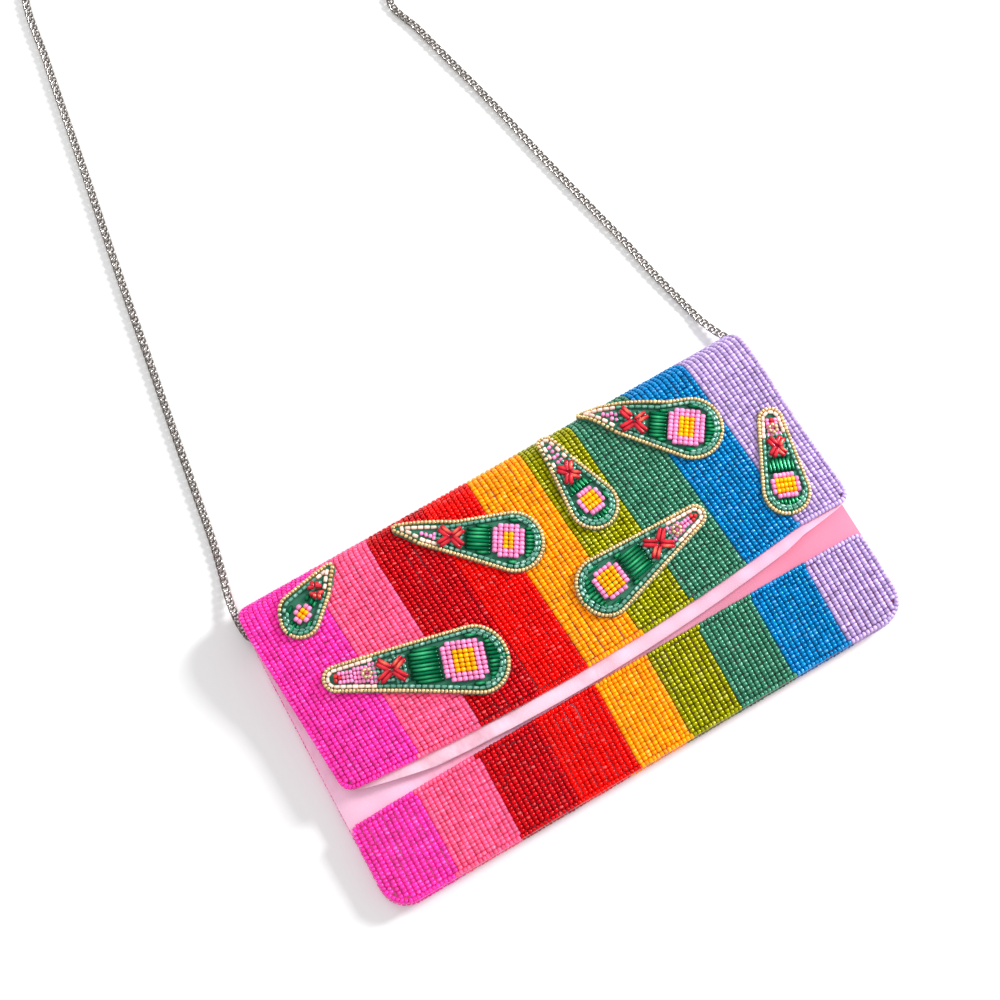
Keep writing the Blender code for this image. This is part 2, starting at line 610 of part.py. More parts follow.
def clasp(label, frame, parts):
    """A trigger clasp: a hook that stands across the ring's bow, a barrel and a tail eye."""
    far = hook_centre()
    near = far + HOOK_RUN
    turns = [math.radians(mix(HOOK_TIP, 270.0, step / 10)) for step in range(11)]
    route = [Vector((0.0, far + HOOK_RADIUS * math.cos(turn), HOOK_RADIUS * math.sin(turn)))
             for turn in turns]
    turns = [math.radians(mix(270.0, 360.0, step / 5)) for step in range(6)]
    route += [Vector((0.0, near + HOOK_RADIUS * math.cos(turn), HOOK_RADIUS * math.sin(turn)))
              for turn in turns]
    route += [Vector((0.0, near + HOOK_RADIUS + 0.0015, 0.0))]
    made = bake_wire(wire("clasp_" + label, route, HOOK_WIRE / 2, parts), frame)
    barrel_y = near + HOOK_RADIUS + BARREL_LENGTH / 2
    upright = Matrix.Rotation(math.radians(90), 4, "X")
    mesh = bmesh.new()
    bmesh.ops.create_cone(mesh, cap_ends=True, segments=12, radius1=BARREL_RADIUS,
                          radius2=BARREL_RADIUS, depth=BARREL_LENGTH)
    spot = frame @ Matrix.Translation((0.0, barrel_y, 0.0)) @ upright
    bmesh.ops.transform(mesh, verts=mesh.verts[:], matrix=spot)
    join(made, place("barrel", mesh, material("nickel", 0.3, 1.0), parts))
    eye_y = barrel_y + BARREL_LENGTH / 2 + EYE_RADIUS
    eye = arc((0.0, eye_y), EYE_RADIUS, 0, 330, 11)
    join(made, bake_wire(wire("eye", eye, HOOK_WIRE / 2, parts, cyclic=True), frame))
    return made


def gate(label, frame, parts):
    """The clasp's sprung gate, on a pivot above the stem."""
    pivot = Vector((0.0, hook_centre() + HOOK_RUN + HOOK_RADIUS, GATE_HEIGHT))
    route = [pivot, pivot - Vector((0.0, GATE_LENGTH / 2, 0.0)), pivot - Vector((0.0, GATE_LENGTH, 0.0))]
    made = bake_wire(wire("gate_" + label, route, GATE_WIRE / 2, parts), frame)
    set_origin(made, frame @ pivot)
    return made


def smooth_route(points, step):
    """Even points along a smooth curve that passes through every point of a route."""
    ends = [points[0] * 2 - points[1]] + list(points) + [points[-1] * 2 - points[-2]]
    fine = []
    for before, start, end, after in zip(ends, ends[1:], ends[2:], ends[3:]):
        for index in range(20):
            share = index / 20
            fine.append(0.5 * (2 * start + (end - before) * share
                               + (2 * before - 5 * start + 4 * end - after) * share ** 2
                               + (3 * start - before - 3 * end + after) * share ** 3))
    fine.append(points[-1])
    total = sum((end - start).length for start, end in zip(fine, fine[1:]))
    count = max(2, round(total / step))
    picked = [fine[0]]
    travelled = 0.0
    wanted = total / count
    for start, end in zip(fine, fine[1:]):
        travelled += (end - start).length
        if travelled >= wanted - 1e-9 and len(picked) < count:
            picked.append(end)
            wanted += total / count
    return picked + [fine[-1]]


def strap(parts):
    """The chain as two tubes that leave the clasps, and its spare length as one flat ring."""
    for name, route in (("chain_left", CHAIN_LEFT), ("chain_right", CHAIN_RIGHT)):
        points = smooth_route([Vector(point) for point in route], CHAIN_STEP)
        tube = wire(name, points, CHAIN_WIDTH / 2, parts)
        bake_wire(tube, Matrix.Identity(4))
    profile = bmesh.new()
    corners = ((COIL_OUTER_RADIUS, COIL_HEIGHT), (COIL_OUTER_RADIUS, 0.0),
               (COIL_INNER_RADIUS, 0.0), (COIL_INNER_RADIUS, COIL_HEIGHT))
    verts = [profile.verts.new((x, 0.0, z)) for x, z in corners]
    for start, end in zip(verts, verts[1:] + verts[:1]):
        profile.edges.new((start, end))
    coil = place("chain_coil", profile, material("nickel", 0.3, 1.0), parts)
    coil.location = (*COIL_CENTRE, 0.0)
    turn = coil.modifiers.new("turn", "SCREW")
    turn.steps = turn.render_steps = 36
    turn.use_merge_vertices = True
    turn.merge_threshold = 0.0001
    turn.use_smooth_shade = True


def fittings(parts):
    """Ribbon tab, ring, clasp and gate in each mouth corner."""
    for label, side in (("left", -1), ("right", 1)):
        frame = fitting_frame(side)
        ring_tab(label, frame, parts)
        ring(label, frame, parts)
        clasp(label, frame, parts)
        gate(label, frame, parts)


def main():
    """Build the purse, closed, and put the flap's pieces on its hinge."""
    for made in list(bpy.data.objects):
        bpy.data.objects.remove(made)
    parts = collection("clutch_purse")
    back_layers(parts)
    front_layers(parts)
    flap_layers(parts)
    for name, tip, end, tip_radius, end_radius in APPLIQUES:
        applique(name, tip, end, tip_radius, end_radius, parts)
    snap(parts)
    fittings(parts)
    strap(parts)
    for made in parts.objects:
        if made.name.startswith(FLAP_PIECES):
            set_origin(made, (0.0, HALF_HEIGHT, HINGE_Z))


main()
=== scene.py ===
"""Looks of a beaded foldover clutch purse with a curb-chain strap.

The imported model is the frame. Every bead, link and sheet here is laid on the same cloth surfaces
that the frame's solids follow: the flat back, the crowned front, and the flap over the fold.
"""

import json
import logging
import math
from collections.abc import Callable, Sequence
from dataclasses import dataclass, field
from enum import Enum

import bmesh
import bpy
import numpy as np
from mathutils import Matrix, Vector, noise

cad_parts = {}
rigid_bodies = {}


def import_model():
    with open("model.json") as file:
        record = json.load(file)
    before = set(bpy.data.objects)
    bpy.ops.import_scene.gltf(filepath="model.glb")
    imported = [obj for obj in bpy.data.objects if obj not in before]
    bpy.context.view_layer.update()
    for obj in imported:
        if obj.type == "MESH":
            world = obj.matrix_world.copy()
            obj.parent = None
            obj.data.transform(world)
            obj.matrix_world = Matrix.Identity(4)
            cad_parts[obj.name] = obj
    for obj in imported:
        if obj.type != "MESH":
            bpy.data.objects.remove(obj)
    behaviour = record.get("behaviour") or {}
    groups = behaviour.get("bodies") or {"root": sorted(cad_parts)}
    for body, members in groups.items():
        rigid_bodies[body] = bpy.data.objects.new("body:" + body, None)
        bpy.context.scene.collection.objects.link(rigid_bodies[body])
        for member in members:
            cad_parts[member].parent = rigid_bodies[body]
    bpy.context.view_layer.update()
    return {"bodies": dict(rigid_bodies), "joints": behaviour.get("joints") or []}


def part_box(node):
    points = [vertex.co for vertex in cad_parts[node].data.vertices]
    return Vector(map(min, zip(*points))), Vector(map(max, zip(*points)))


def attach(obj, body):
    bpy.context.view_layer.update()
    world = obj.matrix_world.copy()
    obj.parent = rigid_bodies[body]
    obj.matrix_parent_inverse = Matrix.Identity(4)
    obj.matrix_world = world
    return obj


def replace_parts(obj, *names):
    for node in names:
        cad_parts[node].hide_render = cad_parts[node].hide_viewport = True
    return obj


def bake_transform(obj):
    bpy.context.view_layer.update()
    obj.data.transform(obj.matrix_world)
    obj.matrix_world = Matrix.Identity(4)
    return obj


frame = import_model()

LOG = logging.getLogger("clutch_purse")
MM = 0.001
WELD = 1e-7
PROBE = 2e-4
FLANK_POINTS = 60
SHARP_CLOTH = math.radians(60)
SHARP_METAL = math.radians(50)
Surface = Callable[[np.ndarray, np.ndarray, float], np.ndarray]
Colour = tuple[float, float, float]
Edges = Callable[[np.ndarray], tuple[np.ndarray, np.ndarray]]


class Stripe(Enum):
    """The nine bead colours, left to right: painted shade at the rims and painted highlight over the bore,
    share of beads with a painted glint, and how much of a silver lining shows."""

    MAGENTA = ("magenta", (0.88, 0.020, 0.36), (1.0, 0.055, 0.48), 0.14, 0.0)
    PINK = ("pink", (0.95, 0.082, 0.22), (1.0, 0.150, 0.32), 0.08, 0.0)
    DARK_RED = ("dark_red", (0.36, 0.0, 0.002), (0.74, 0.001, 0.008), 0.10, 0.15)
    RED = ("red", (0.66, 0.0, 0.0), (0.93, 0.002, 0.0), 0.06, 0.0)
    ORANGE = ("orange", (0.95, 0.26, 0.0), (1.0, 0.42, 0.004), 0.05, 0.0)
    OLIVE = ("olive", (0.17, 0.165, 0.0), (0.46, 0.47, 0.0), 0.25, 0.30)
    SEA_GREEN = ("sea_green", (0.020, 0.14, 0.078), (0.085, 0.32, 0.20), 0.22, 0.25)
    BLUE = ("blue", (0.0, 0.13, 0.38), (0.0, 0.29, 0.66), 0.22, 0.20)
    LILAC = ("lilac", (0.40, 0.28, 0.56), (0.58, 0.44, 0.74), 0.12, 0.0)

    def __init__(self, label: str, deep: tuple, lit: tuple, sparkle: float, lining: float) -> None:
        """Name the stripe's colours.

        Args:
            label: The stripe's name.
            deep: Colour of the painted shade at a bead's rims.
            lit: Colour of the painted highlight over its bore.
            sparkle: Share of beads with a painted glint.
            lining: How much of a silver lining shows.
        """
        self.label = label
        self.deep = deep
        self.lit = lit
        self.sparkle = sparkle
        self.lining = lining


STRIPES = tuple(Stripe)
FLAP_SHARES = (0.0, 0.133, 0.247, 0.360, 0.452, 0.559, 0.661, 0.777, 0.893, 1.0)
BAND_SHARES = (0.0, 0.120, 0.240, 0.353, 0.470, 0.572, 0.671, 0.777, 0.887, 1.0)


def smooth(value: np.ndarray) -> np.ndarray:
    """Ease from 0 to 1."""
    share = np.clip(value, 0.0, 1.0)
    return share * share * (3.0 - 2.0 * share)


def unit(rows: np.ndarray) -> np.ndarray:
    """Rows of vectors at length 1."""
    return rows / np.maximum(np.linalg.norm(rows, axis=-1, keepdims=True), 1e-12)


def steps_of(points: np.ndarray) -> np.ndarray:
    """Distance from each point of a line to the next."""
    return np.linalg.norm(np.diff(points, axis=0), axis=1)


def run_along(points: np.ndarray) -> np.ndarray:
    """Distance covered at each point of a line."""
    return np.concatenate(([0.0], np.cumsum(steps_of(points))))


def at(index: np.ndarray, rows: np.ndarray) -> np.ndarray:
    """Rows read at fractional indices.

    Args:
        index: Fractional indices.
        rows: What is read.

    Returns:
        A row, or a number, for each index.
    """
    grid = np.arange(len(rows))
    if rows.ndim == 1:
        return np.interp(index, grid, rows)
    return np.stack([np.interp(index, grid, rows[:, k]) for k in range(rows.shape[1])], -1)


def vertex_rows(data: bpy.types.Mesh) -> np.ndarray:
    """A mesh's vertices as rows.

    Args:
        data: The mesh.

    Returns:
        Rows of places, in metres.
    """
    flat = np.empty(len(data.vertices) * 3, np.float32)
    data.vertices.foreach_get("co", flat)
    return flat.reshape(-1, 3).astype(float)


def keep_mesh(name: str, mesh: bmesh.types.BMesh) -> bpy.types.Mesh:
    """Turn a working mesh into a named one, and free it.

    Args:
        name: The new mesh's name.
        mesh: The working mesh.

    Returns:
        The named mesh.
    """
    data = bpy.data.meshes.new(name)
    mesh.to_mesh(data)
    mesh.free()
    return data


def weld(mesh: bmesh.types.BMesh) -> bmesh.types.BMesh:
    """Join the points that meet."""
    bmesh.ops.remove_doubles(mesh, verts=mesh.verts[:], dist=WELD)
    return mesh


def outward(mesh: bmesh.types.BMesh) -> bmesh.types.BMesh:
    """Turn every face outwards."""
    bmesh.ops.recalc_face_normals(mesh, faces=mesh.faces[:])
    return mesh


def points_in(items: Sequence[object]) -> list[bmesh.types.BMVert]:
    """The vertices among the items that an operator returns."""
    return [item for item in items if isinstance(item, bmesh.types.BMVert)]


def polyline(mesh: bmesh.types.BMesh, points: Sequence[Sequence[float]], closed: bool = False
             ) -> tuple[list[bmesh.types.BMVert], list[bmesh.types.BMEdge]]:
    """Draw a line through points.

    Args:
        mesh: The mesh it is drawn in.
        points: Its places, in order.
        closed: Join the last point to the first.

    Returns:
        Its vertices and its edges.
    """
    verts = [mesh.verts.new(point) for point in points]
    edges = [mesh.edges.new(pair) for pair in zip(verts, verts[1:])]
    if closed:
        edges.append(mesh.edges.new((verts[-1], verts[0])))
    return verts, edges


def widen(mesh: bmesh.types.BMesh, edges: list[bmesh.types.BMEdge], steps: int,
          move: Sequence[float]) -> None:
    """Widen a line into a strip, a step at a time.

    Args:
        mesh: The line's mesh.
        edges: The line's edges.
        steps: How many rows of faces the strip has.
        move: From one row to the next.
    """
    for _ in range(steps):
        grown = bmesh.ops.extrude_edge_only(mesh, edges=edges)["geom"]
        moved = set(points_in(grown))
        edges = [item for item in grown if isinstance(item, bmesh.types.BMEdge)
                 and set(item.verts) <= moved]
        bmesh.ops.translate(mesh, verts=list(moved), vec=move)


def thicken(mesh: bmesh.types.BMesh, thickness: float) -> bmesh.types.BMesh:
    """Give a strip its thickness.

    Args:
        mesh: The strip.
        thickness: How thick, negative towards its outside.

    Returns:
        The same mesh, closed.
    """
    outward(mesh)
    bmesh.ops.solidify(mesh, geom=mesh.faces[:], thickness=thickness)
    return outward(mesh)


def slab(cells: tuple[int, int]) -> bmesh.types.BMesh:
    """A unit square of cells with the same square above it, closed round the rim.

    Args:
        cells: How many across and along.

    Returns:
        The closed mesh, 1 high.
    """
    mesh = bmesh.new()
    bmesh.ops.create_grid(mesh, x_segments=cells[0], y_segments=cells[1], size=0.5)
    lifted = bmesh.ops.extrude_face_region(mesh, geom=mesh.faces[:])["geom"]
    bmesh.ops.translate(mesh, verts=points_in(lifted), vec=(0, 0, 1))
    return mesh


def revolve(profile: Sequence[tuple[float, float]], steps: int, closed: bool) -> bmesh.types.BMesh:
    """Turn a profile about Z.

    Args:
        profile: Radius and height of each point.
        steps: Faces round it.
        closed: Join the last point to the first.

    Returns:
        The skin, with its faces as they come.
    """
    mesh = bmesh.new()
    verts, edges = polyline(mesh, [(radius, 0.0, height) for radius, height in profile], closed)
    bmesh.ops.spin(mesh, geom=verts + edges, cent=(0, 0, 0), axis=(0, 0, 1), angle=math.tau,
                   steps=steps, use_merge=True)
    return weld(mesh)


def merged(parts: Sequence[bmesh.types.BMesh]) -> bmesh.types.BMesh:
    """Join working meshes into one, and free them.

    Args:
        parts: The meshes.

    Returns:
        One mesh with all of them.
    """
    whole = bmesh.new()
    data = bpy.data.meshes.new("part")
    for part in parts:
        part.to_mesh(data)
        whole.from_mesh(data)
        part.free()
    bpy.data.meshes.remove(data)
    return whole


def new_object(name: str, data: bpy.types.ID, *finishes: bpy.types.Material) -> bpy.types.Object:
    """Put data in the scene as an object at the origin.

    Args:
        name: The object's name.
        data: Its mesh in place, or its curve, camera or light.
        finishes: Its materials, in slot order.

    Returns:
        The object.
    """
    for finish in finishes:
        data.materials.append(finish)
    made = bpy.data.objects.new(name, data)
    bpy.context.scene.collection.objects.link(made)
    return made


def baked(source: bpy.types.Object) -> bpy.types.Mesh:
    """The mesh that an object's modifiers or curve make, with the object removed.

    Args:
        source: The object, which is removed.

    Returns:
        Its mesh.
    """
    graph = bpy.context.evaluated_depsgraph_get()
    data = bpy.data.meshes.new_from_object(source.evaluated_get(graph))
    bpy.data.objects.remove(source)
    return data


@dataclass(frozen=True)
class Pattern:
    """The cutting pattern, and the surfaces that its sheets lie on.

    A point on a sheet is an x, a station (metres of cloth from the bottom hem's line at y = 0
    upwards) and a depth from the surface that the sheet is laid on.
    """

    half_height: float
    mouth_y: float
    band_top_y: float
    crown: float
    half_width_fold: float = 0.127
    half_width_hem: float = 0.131
    body_tuck: float = 0.0045
    hem_drawn_in: float = 0.0045
    corner_radius: float = 0.012
    flap_corner_radius: float = 0.006
    fold_corner_radius: float = 0.005
    flap_hem_y: float = -0.0185
    flap_hem_bow: float = 0.0075
    flap_hem_left: float = -0.124
    flap_hem_right: float = 0.1315
    front_depth: float = 0.0064
    flap_clearance: float = 0.0004
    flap_lift: float = 0.0021
    flap_depth: float = 0.0044
    hinge_z: float = 0.0088
    back_fold_y: float = 0.064
    fold_arc: float = 0.016

    @classmethod
    def from_frame(cls) -> "Pattern":
        """Read the pattern's main sizes from the frame's sheets.

        Returns:
            The pattern that the frame was cut to.
        """
        front_low, front_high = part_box("front_panel")
        band_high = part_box("band_beads_orange")[1]
        crown = front_high.z - cls.front_depth
        return cls(-front_low.y, front_high.y, band_high.y, crown)

    def half_width(self, y: np.ndarray) -> np.ndarray:
        """Half the purse's width at y, with rounded corners at the fold.

        Args:
            y: Rows of places from hem to fold.

        Returns:
            The half widths.
        """
        share = (y + self.half_height) / (2 * self.half_height)
        width = self.half_width_hem + (self.half_width_fold - self.half_width_hem) * share
        near = np.clip(self.fold_corner_radius - (self.half_height - y), 0, self.fold_corner_radius)
        return width - self.fold_corner_radius + np.sqrt(self.fold_corner_radius ** 2 - near ** 2)

    def crown_share(self, x: np.ndarray, y: np.ndarray) -> np.ndarray:
        """Share of the full crown: none at the seams, open at the mouth.

        Args:
            x: Rows of places across.
            y: Rows of places from hem to fold.

        Returns:
            The shares, from 0 to 1.
        """
        across = 1.0 - np.minimum(1.0, np.abs(x) / self.half_width_hem) ** 6
        along = np.sin(math.pi / 2 * np.clip((y + self.half_height) / 0.050, 0.0, 1.0))
        body = across * along
        return body + (1.0 - body) * 0.60 * smooth((y - 0.028) / 0.030)

    def flap_underside(self, x: np.ndarray, y: np.ndarray) -> np.ndarray:
        """Height of the flap's underside.

        Args:
            x: Rows of places across.
            y: Rows of places from hem to fold.

        Returns:
            The heights.
        """
        share = self.crown_share(x, y)
        share = share + (1.0 - share) * 0.75 * smooth((y - 0.010) / 0.048)
        lift = 1.0 - np.minimum(1.0, np.abs(x) / self.half_width_hem) ** 3
        lift = self.flap_lift * lift * smooth((0.050 - y) / 0.050)
        return self.front_depth + self.flap_clearance + self.crown * share + lift

    def flap_edges(self, station: np.ndarray) -> tuple[np.ndarray, np.ndarray]:
        """Left and right edge of the flap at a station.

        Args:
            station: Rows of stations.

        Returns:
            X of both edges.
        """
        angle = math.pi / 2 * np.clip((station - self.mouth_y) / self.fold_arc, 0.0, 1.0)
        fold_y = self.mouth_y + (self.half_height - self.mouth_y) * np.sin(angle)
        top = self.half_width(np.where(station > self.mouth_y, fold_y, self.mouth_y))
        share = np.clip((self.mouth_y - station) / (self.mouth_y - self.flap_hem_y), 0.0, 1.1)
        return (-top * (1 - share) + self.flap_hem_left * share,
                top * (1 - share) + self.flap_hem_right * share)

    def body_edges(self, station: np.ndarray) -> tuple[np.ndarray, np.ndarray]:
        """Left and right edge of the back and the front at a station.

        Args:
            station: Rows of stations.

        Returns:
            X of both edges.
        """
        width = self.half_width(station) - self.body_tuck * smooth((station - 0.054) / 0.010)
        drawn = self.hem_drawn_in * (self.half_height - station) / (2 * self.half_height)
        return -width, width - np.maximum(0.0, drawn)

    def back(self, x: np.ndarray, station: np.ndarray, depth: float) -> np.ndarray:
        """Points on the flat back, which turns up at the fold.

        Args:
            x: Rows of places across.
            station: Rows of stations.
            depth: Depth from the sheet's own surface.

        Returns:
            Rows of places.
        """
        angle = math.pi / 2 * np.clip((station - self.back_fold_y) / self.fold_arc, 0.0, 1.0)
        reach = self.half_height - self.back_fold_y - depth
        y = np.minimum(station, self.back_fold_y) + reach * np.sin(angle)
        z = depth + (self.hinge_z - depth) * (1.0 - np.cos(angle))
        return np.stack(np.broadcast_arrays(x, y, z), -1)

    def front(self, x: np.ndarray, station: np.ndarray, depth: float) -> np.ndarray:
        """Points on the crowned front."""
        z = depth + self.crown * self.crown_share(x, station)
        return np.stack(np.broadcast_arrays(x, station, z), -1)

    def flap(self, x: np.ndarray, station: np.ndarray, depth: float) -> np.ndarray:
        """Points on the flap: over the front, then round the upper half of the fold.

        Args:
            x: Rows of places across.
            station: Rows of stations.
            depth: Depth from the sheet's own surface.

        Returns:
            Rows of places.
        """
        angle = math.pi / 2 * np.clip((station - self.mouth_y) / self.fold_arc, 0.0, 1.0)
        fall = np.clip((self.mouth_y - station) / (self.mouth_y - self.flap_hem_y), 0.0, 1.2)
        bow = self.flap_hem_bow * (1.0 - np.minimum(1.0, ((x + 0.015) / 0.118) ** 2)) * fall ** 2
        flat = np.minimum(station, self.mouth_y) - bow
        reach = self.half_height - self.mouth_y - self.flap_depth + depth
        rise = self.flap_underside(x, flat) + depth - self.hinge_z
        return np.stack(np.broadcast_arrays(
            x, flat + reach * np.sin(angle), self.hinge_z + rise * np.cos(angle)), -1)

    def fold_edges(self, run: np.ndarray) -> tuple[np.ndarray, np.ndarray]:
        """Left and right edge round the fold, at a run up the back's half and then the flap's.

        Args:
            run: Metres of cloth round the fold.

        Returns:
            X of both edges.
        """
        angle = math.pi / 2 * np.clip(run / self.fold_arc, 0.0, 1.0)
        lower = self.half_width(self.back_fold_y + (self.half_height - self.back_fold_y) * np.sin(angle))
        lower = lower - self.body_tuck * (1.0 - smooth((run - 0.0115) / 0.0045))
        upper = self.flap_edges(self.mouth_y + 2 * self.fold_arc - run)[1]
        width = np.where(run < self.fold_arc, lower, upper)
        return -width, width

    def fold(self, x: np.ndarray, run: np.ndarray, depth: float) -> np.ndarray:
        """Points round the fold, from the back to the flap, at a depth on the flap.

        Args:
            x: Rows of places across.
            run: Metres of cloth round the fold.
            depth: Depth on the flap.

        Returns:
            Rows of places.
        """
        lower = self.back(x, self.back_fold_y + run, self.flap_depth - depth + 0.0002)
        upper = self.flap(x, self.mouth_y + 2 * self.fold_arc - run, depth)
        return np.where((run < self.fold_arc)[..., None], lower, upper)


class Finish:
    """A material built from nodes, by its own name."""

    def __init__(self, name: str) -> None:
        """Start a material with one Principled shader.

        Args:
            name: The material's name.
        """
        self.material = bpy.data.materials.new(name)
        self.material.use_nodes = True
        self.nodes = self.material.node_tree.nodes
        self.links = self.material.node_tree.links
        self.shader = self.nodes["Principled BSDF"]

    def add(self, kind: str, **settings: object) -> bpy.types.Node:
        """Add a node and set its values.

        Args:
            kind: The node's type name.
            settings: Attributes of the node, or default values of its inputs.

        Returns:
            The new node.
        """
        node = self.nodes.new(kind)
        for key, value in settings.items():
            if hasattr(node, key):
                setattr(node, key, value)
            else:
                node.inputs[key.replace("_", " ")].default_value = value
        return node

    def join(self, source: bpy.types.NodeSocket, target: bpy.types.NodeSocket) -> None:
        """Link two sockets."""
        self.links.new(source, target)

    def set(self, **values: object) -> "Finish":
        """Set the shader's own sockets by name, with underscores for spaces.

        Args:
            values: Values by socket.

        Returns:
            The same finish.
        """
        for key, value in values.items():
            self.shader.inputs[key.replace("_", " ")].default_value = value
        return self

    def mix(self, factor: bpy.types.NodeSocket, low: Sequence[float], high: Sequence[float],
            into: bpy.types.NodeSocket | None = None) -> bpy.types.NodeSocket:
        """Mix two colours by a factor.

        Args:
            factor: The socket that says how much of the second colour there is.
            low: First colour, or a socket that gives it.
            high: Second colour, or a socket that gives it.
            into: A socket to feed, or none.

        Returns:
            The mixed colour's socket.
        """
        node = self.add("ShaderNodeMix", data_type="RGBA")
        self.join(factor, node.inputs[0])
        for index, value in ((6, low), (7, high)):
            if isinstance(value, bpy.types.NodeSocket):
                self.join(value, node.inputs[index])
            else:
                node.inputs[index].default_value = (*value, 1.0)
        if into is not None:
            self.join(node.outputs[2], into)
        return node.outputs[2]

    def attribute(self, name: str) -> bpy.types.NodeSocket:
        """A number that each vertex of the piece holds."""
        return self.add("ShaderNodeAttribute", attribute_name=name).outputs["Fac"]

    def ramp(self, source: bpy.types.NodeSocket, low: float, high: float) -> bpy.types.NodeSocket:
        """A number eased from 0 at low to 1 at high.

        Args:
            source: The number.
            low: Where it starts.
            high: Where it ends.

        Returns:
            The eased number's socket.
        """
        node = self.add("ShaderNodeMapRange", interpolation_type="SMOOTHSTEP", From_Min=low,
                        From_Max=high)
        self.join(source, node.inputs["Value"])
        return node.outputs["Result"]

    def stretch(self, source: bpy.types.NodeSocket, low: float, high: float) -> bpy.types.NodeSocket:
        """A number from 0 to 1, stretched to run from low to high.

        Args:
            source: The number.
            low: What 0 becomes.
            high: What 1 becomes.

        Returns:
            The stretched number's socket.
        """
        node = self.add("ShaderNodeMapRange", To_Min=low, To_Max=high)
        self.join(source, node.inputs["Value"])
        return node.outputs["Result"]

    def place(self) -> bpy.types.NodeSocket:
        """Where a point of the piece lies."""
        return self.add("ShaderNodeTexCoord").outputs["Object"]

    def noise(self, scale: float, detail: float = 2.0, stretch: Sequence[float] = (1, 1, 1)
              ) -> bpy.types.NodeSocket:
        """Noise over the piece in its own coordinates.

        Args:
            scale: Cells a metre.
            detail: Octaves.
            stretch: Scale along each axis.

        Returns:
            The noise's number.
        """
        mapping = self.add("ShaderNodeMapping")
        mapping.inputs["Scale"].default_value = stretch
        self.join(self.place(), mapping.inputs["Vector"])
        node = self.add("ShaderNodeTexNoise", Scale=scale, Detail=detail)
        self.join(mapping.outputs["Vector"], node.inputs["Vector"])
        return node.outputs["Fac"]

    def bump(self, height: bpy.types.NodeSocket, strength: float, distance: float) -> None:
        """Raise the surface by a height pattern.

        Args:
            height: The pattern's socket.
            strength: How much of it shows.
            distance: Height of a full step, in metres.
        """
        node = self.add("ShaderNodeBump", Strength=strength, Distance=distance)
        self.join(height, node.inputs["Height"])
        self.join(node.outputs["Normal"], self.shader.inputs["Normal"])


@dataclass(frozen=True)
class BeadGlass:
    """Glass beads with painted light: a painted highlight over each bead's top, painted shade at its flanks
    and holes, a painted glint on some and a painted glow.

    Fields:
        name: The material's name.
        deep: Colour of the painted shade at the bead's flanks and holes.
        lit: Colour of the painted highlight over its top, above the bore.
        glint: Colour of the painted glint on the top of a sparkling bead.
        lining: How much of a silver lining tints the shine.
        roughness: Of the glass.
        glow: Painted glow: emission at this share of the bead's own colour, lightening the shade between
            beads.
    """

    name: str
    deep: Colour
    lit: Colour
    glint: Colour
    lining: float = 0.0
    roughness: float = 0.24
    glow: float = 0.14

    def material(self) -> bpy.types.Material:
        """Mix the glass from each bead's painted light (highlight over its top, shade at its flanks and
        holes), its random tone and its painted glint.

        Returns:
            The material.
        """
        finish = Finish(self.name)
        # Painted highlight and shade: the lit colour over each bead's top, the deep colour at its flanks and
        # holes.
        crest = finish.ramp(finish.attribute("crest"), 0.05, 0.95)
        tone = finish.ramp(finish.attribute("tone"), -0.4, 1.4)
        shade = finish.add("ShaderNodeHueSaturation")
        finish.join(finish.stretch(tone, 0.72, 1.22), shade.inputs["Value"])
        finish.join(finish.mix(crest, self.deep, self.lit), shade.inputs["Color"])
        # Painted glint: the glint colour on the tops of sparkling beads.
        lit_up = finish.mix(finish.attribute("spark"), shade.outputs["Color"], self.glint,
                            finish.shader.inputs["Base Color"])
        # Painted glow: the same colour feeds the emission, so the beads glow without a lamp.
        finish.join(lit_up, finish.shader.inputs["Emission Color"])
        return finish.set(Roughness=self.roughness, IOR=1.5, Metallic=self.lining,
                          Specular_IOR_Level=0.28, Emission_Strength=self.glow,
                          Subsurface_Weight=0.6, Subsurface_Radius=(1.0, 1.0, 1.0),
                          Subsurface_Scale=0.0009).material


@dataclass(frozen=True)
class Velvet:
    """Short-pile velvet: a soft sheen over a fine brushed nap.

    Fields:
        name: The material's name.
        deep: Colour looking into the pile.
        lit: Colour of its tips.
        far: Colour blended in over the right side, painted shade on the front velvet, or none.
        turning: X at which that colour starts, and at which it is full.
    """

    name: str
    deep: Colour
    lit: Colour
    far: Colour | None = None
    turning: tuple[float, float] = (-0.06, 0.10)

    def material(self) -> bpy.types.Material:
        """Brush the pile.

        Returns:
            The material.
        """
        finish = Finish(self.name)
        nap = finish.noise(420.0, 3.0, (1.0, 0.55, 1.0))
        drift = finish.noise(38.0, 2.0)
        both = finish.add("ShaderNodeMath", operation="MULTIPLY_ADD")
        finish.join(nap, both.inputs[0])
        both.inputs[1].default_value = 0.55
        finish.join(drift, both.inputs[2])
        pile = finish.mix(finish.ramp(both.outputs[0], 0.36, 0.92), self.deep, self.lit)
        # Blend the far colour in over the right side: painted shade on the front velvet.
        if self.far is not None:
            across = finish.add("ShaderNodeSeparateXYZ")
            finish.join(finish.place(), across.inputs[0])
            pile = finish.mix(finish.ramp(across.outputs["X"], *self.turning), pile, self.far)
        finish.join(pile, finish.shader.inputs["Base Color"])
        finish.bump(finish.noise(2600.0, 2.0), 0.35, 0.0004)
        return finish.set(Roughness=0.9, Sheen_Weight=0.25, Sheen_Roughness=0.4,
                          Sheen_Tint=(1.0, 0.86, 0.92, 1.0), Specular_IOR_Level=0.1).material


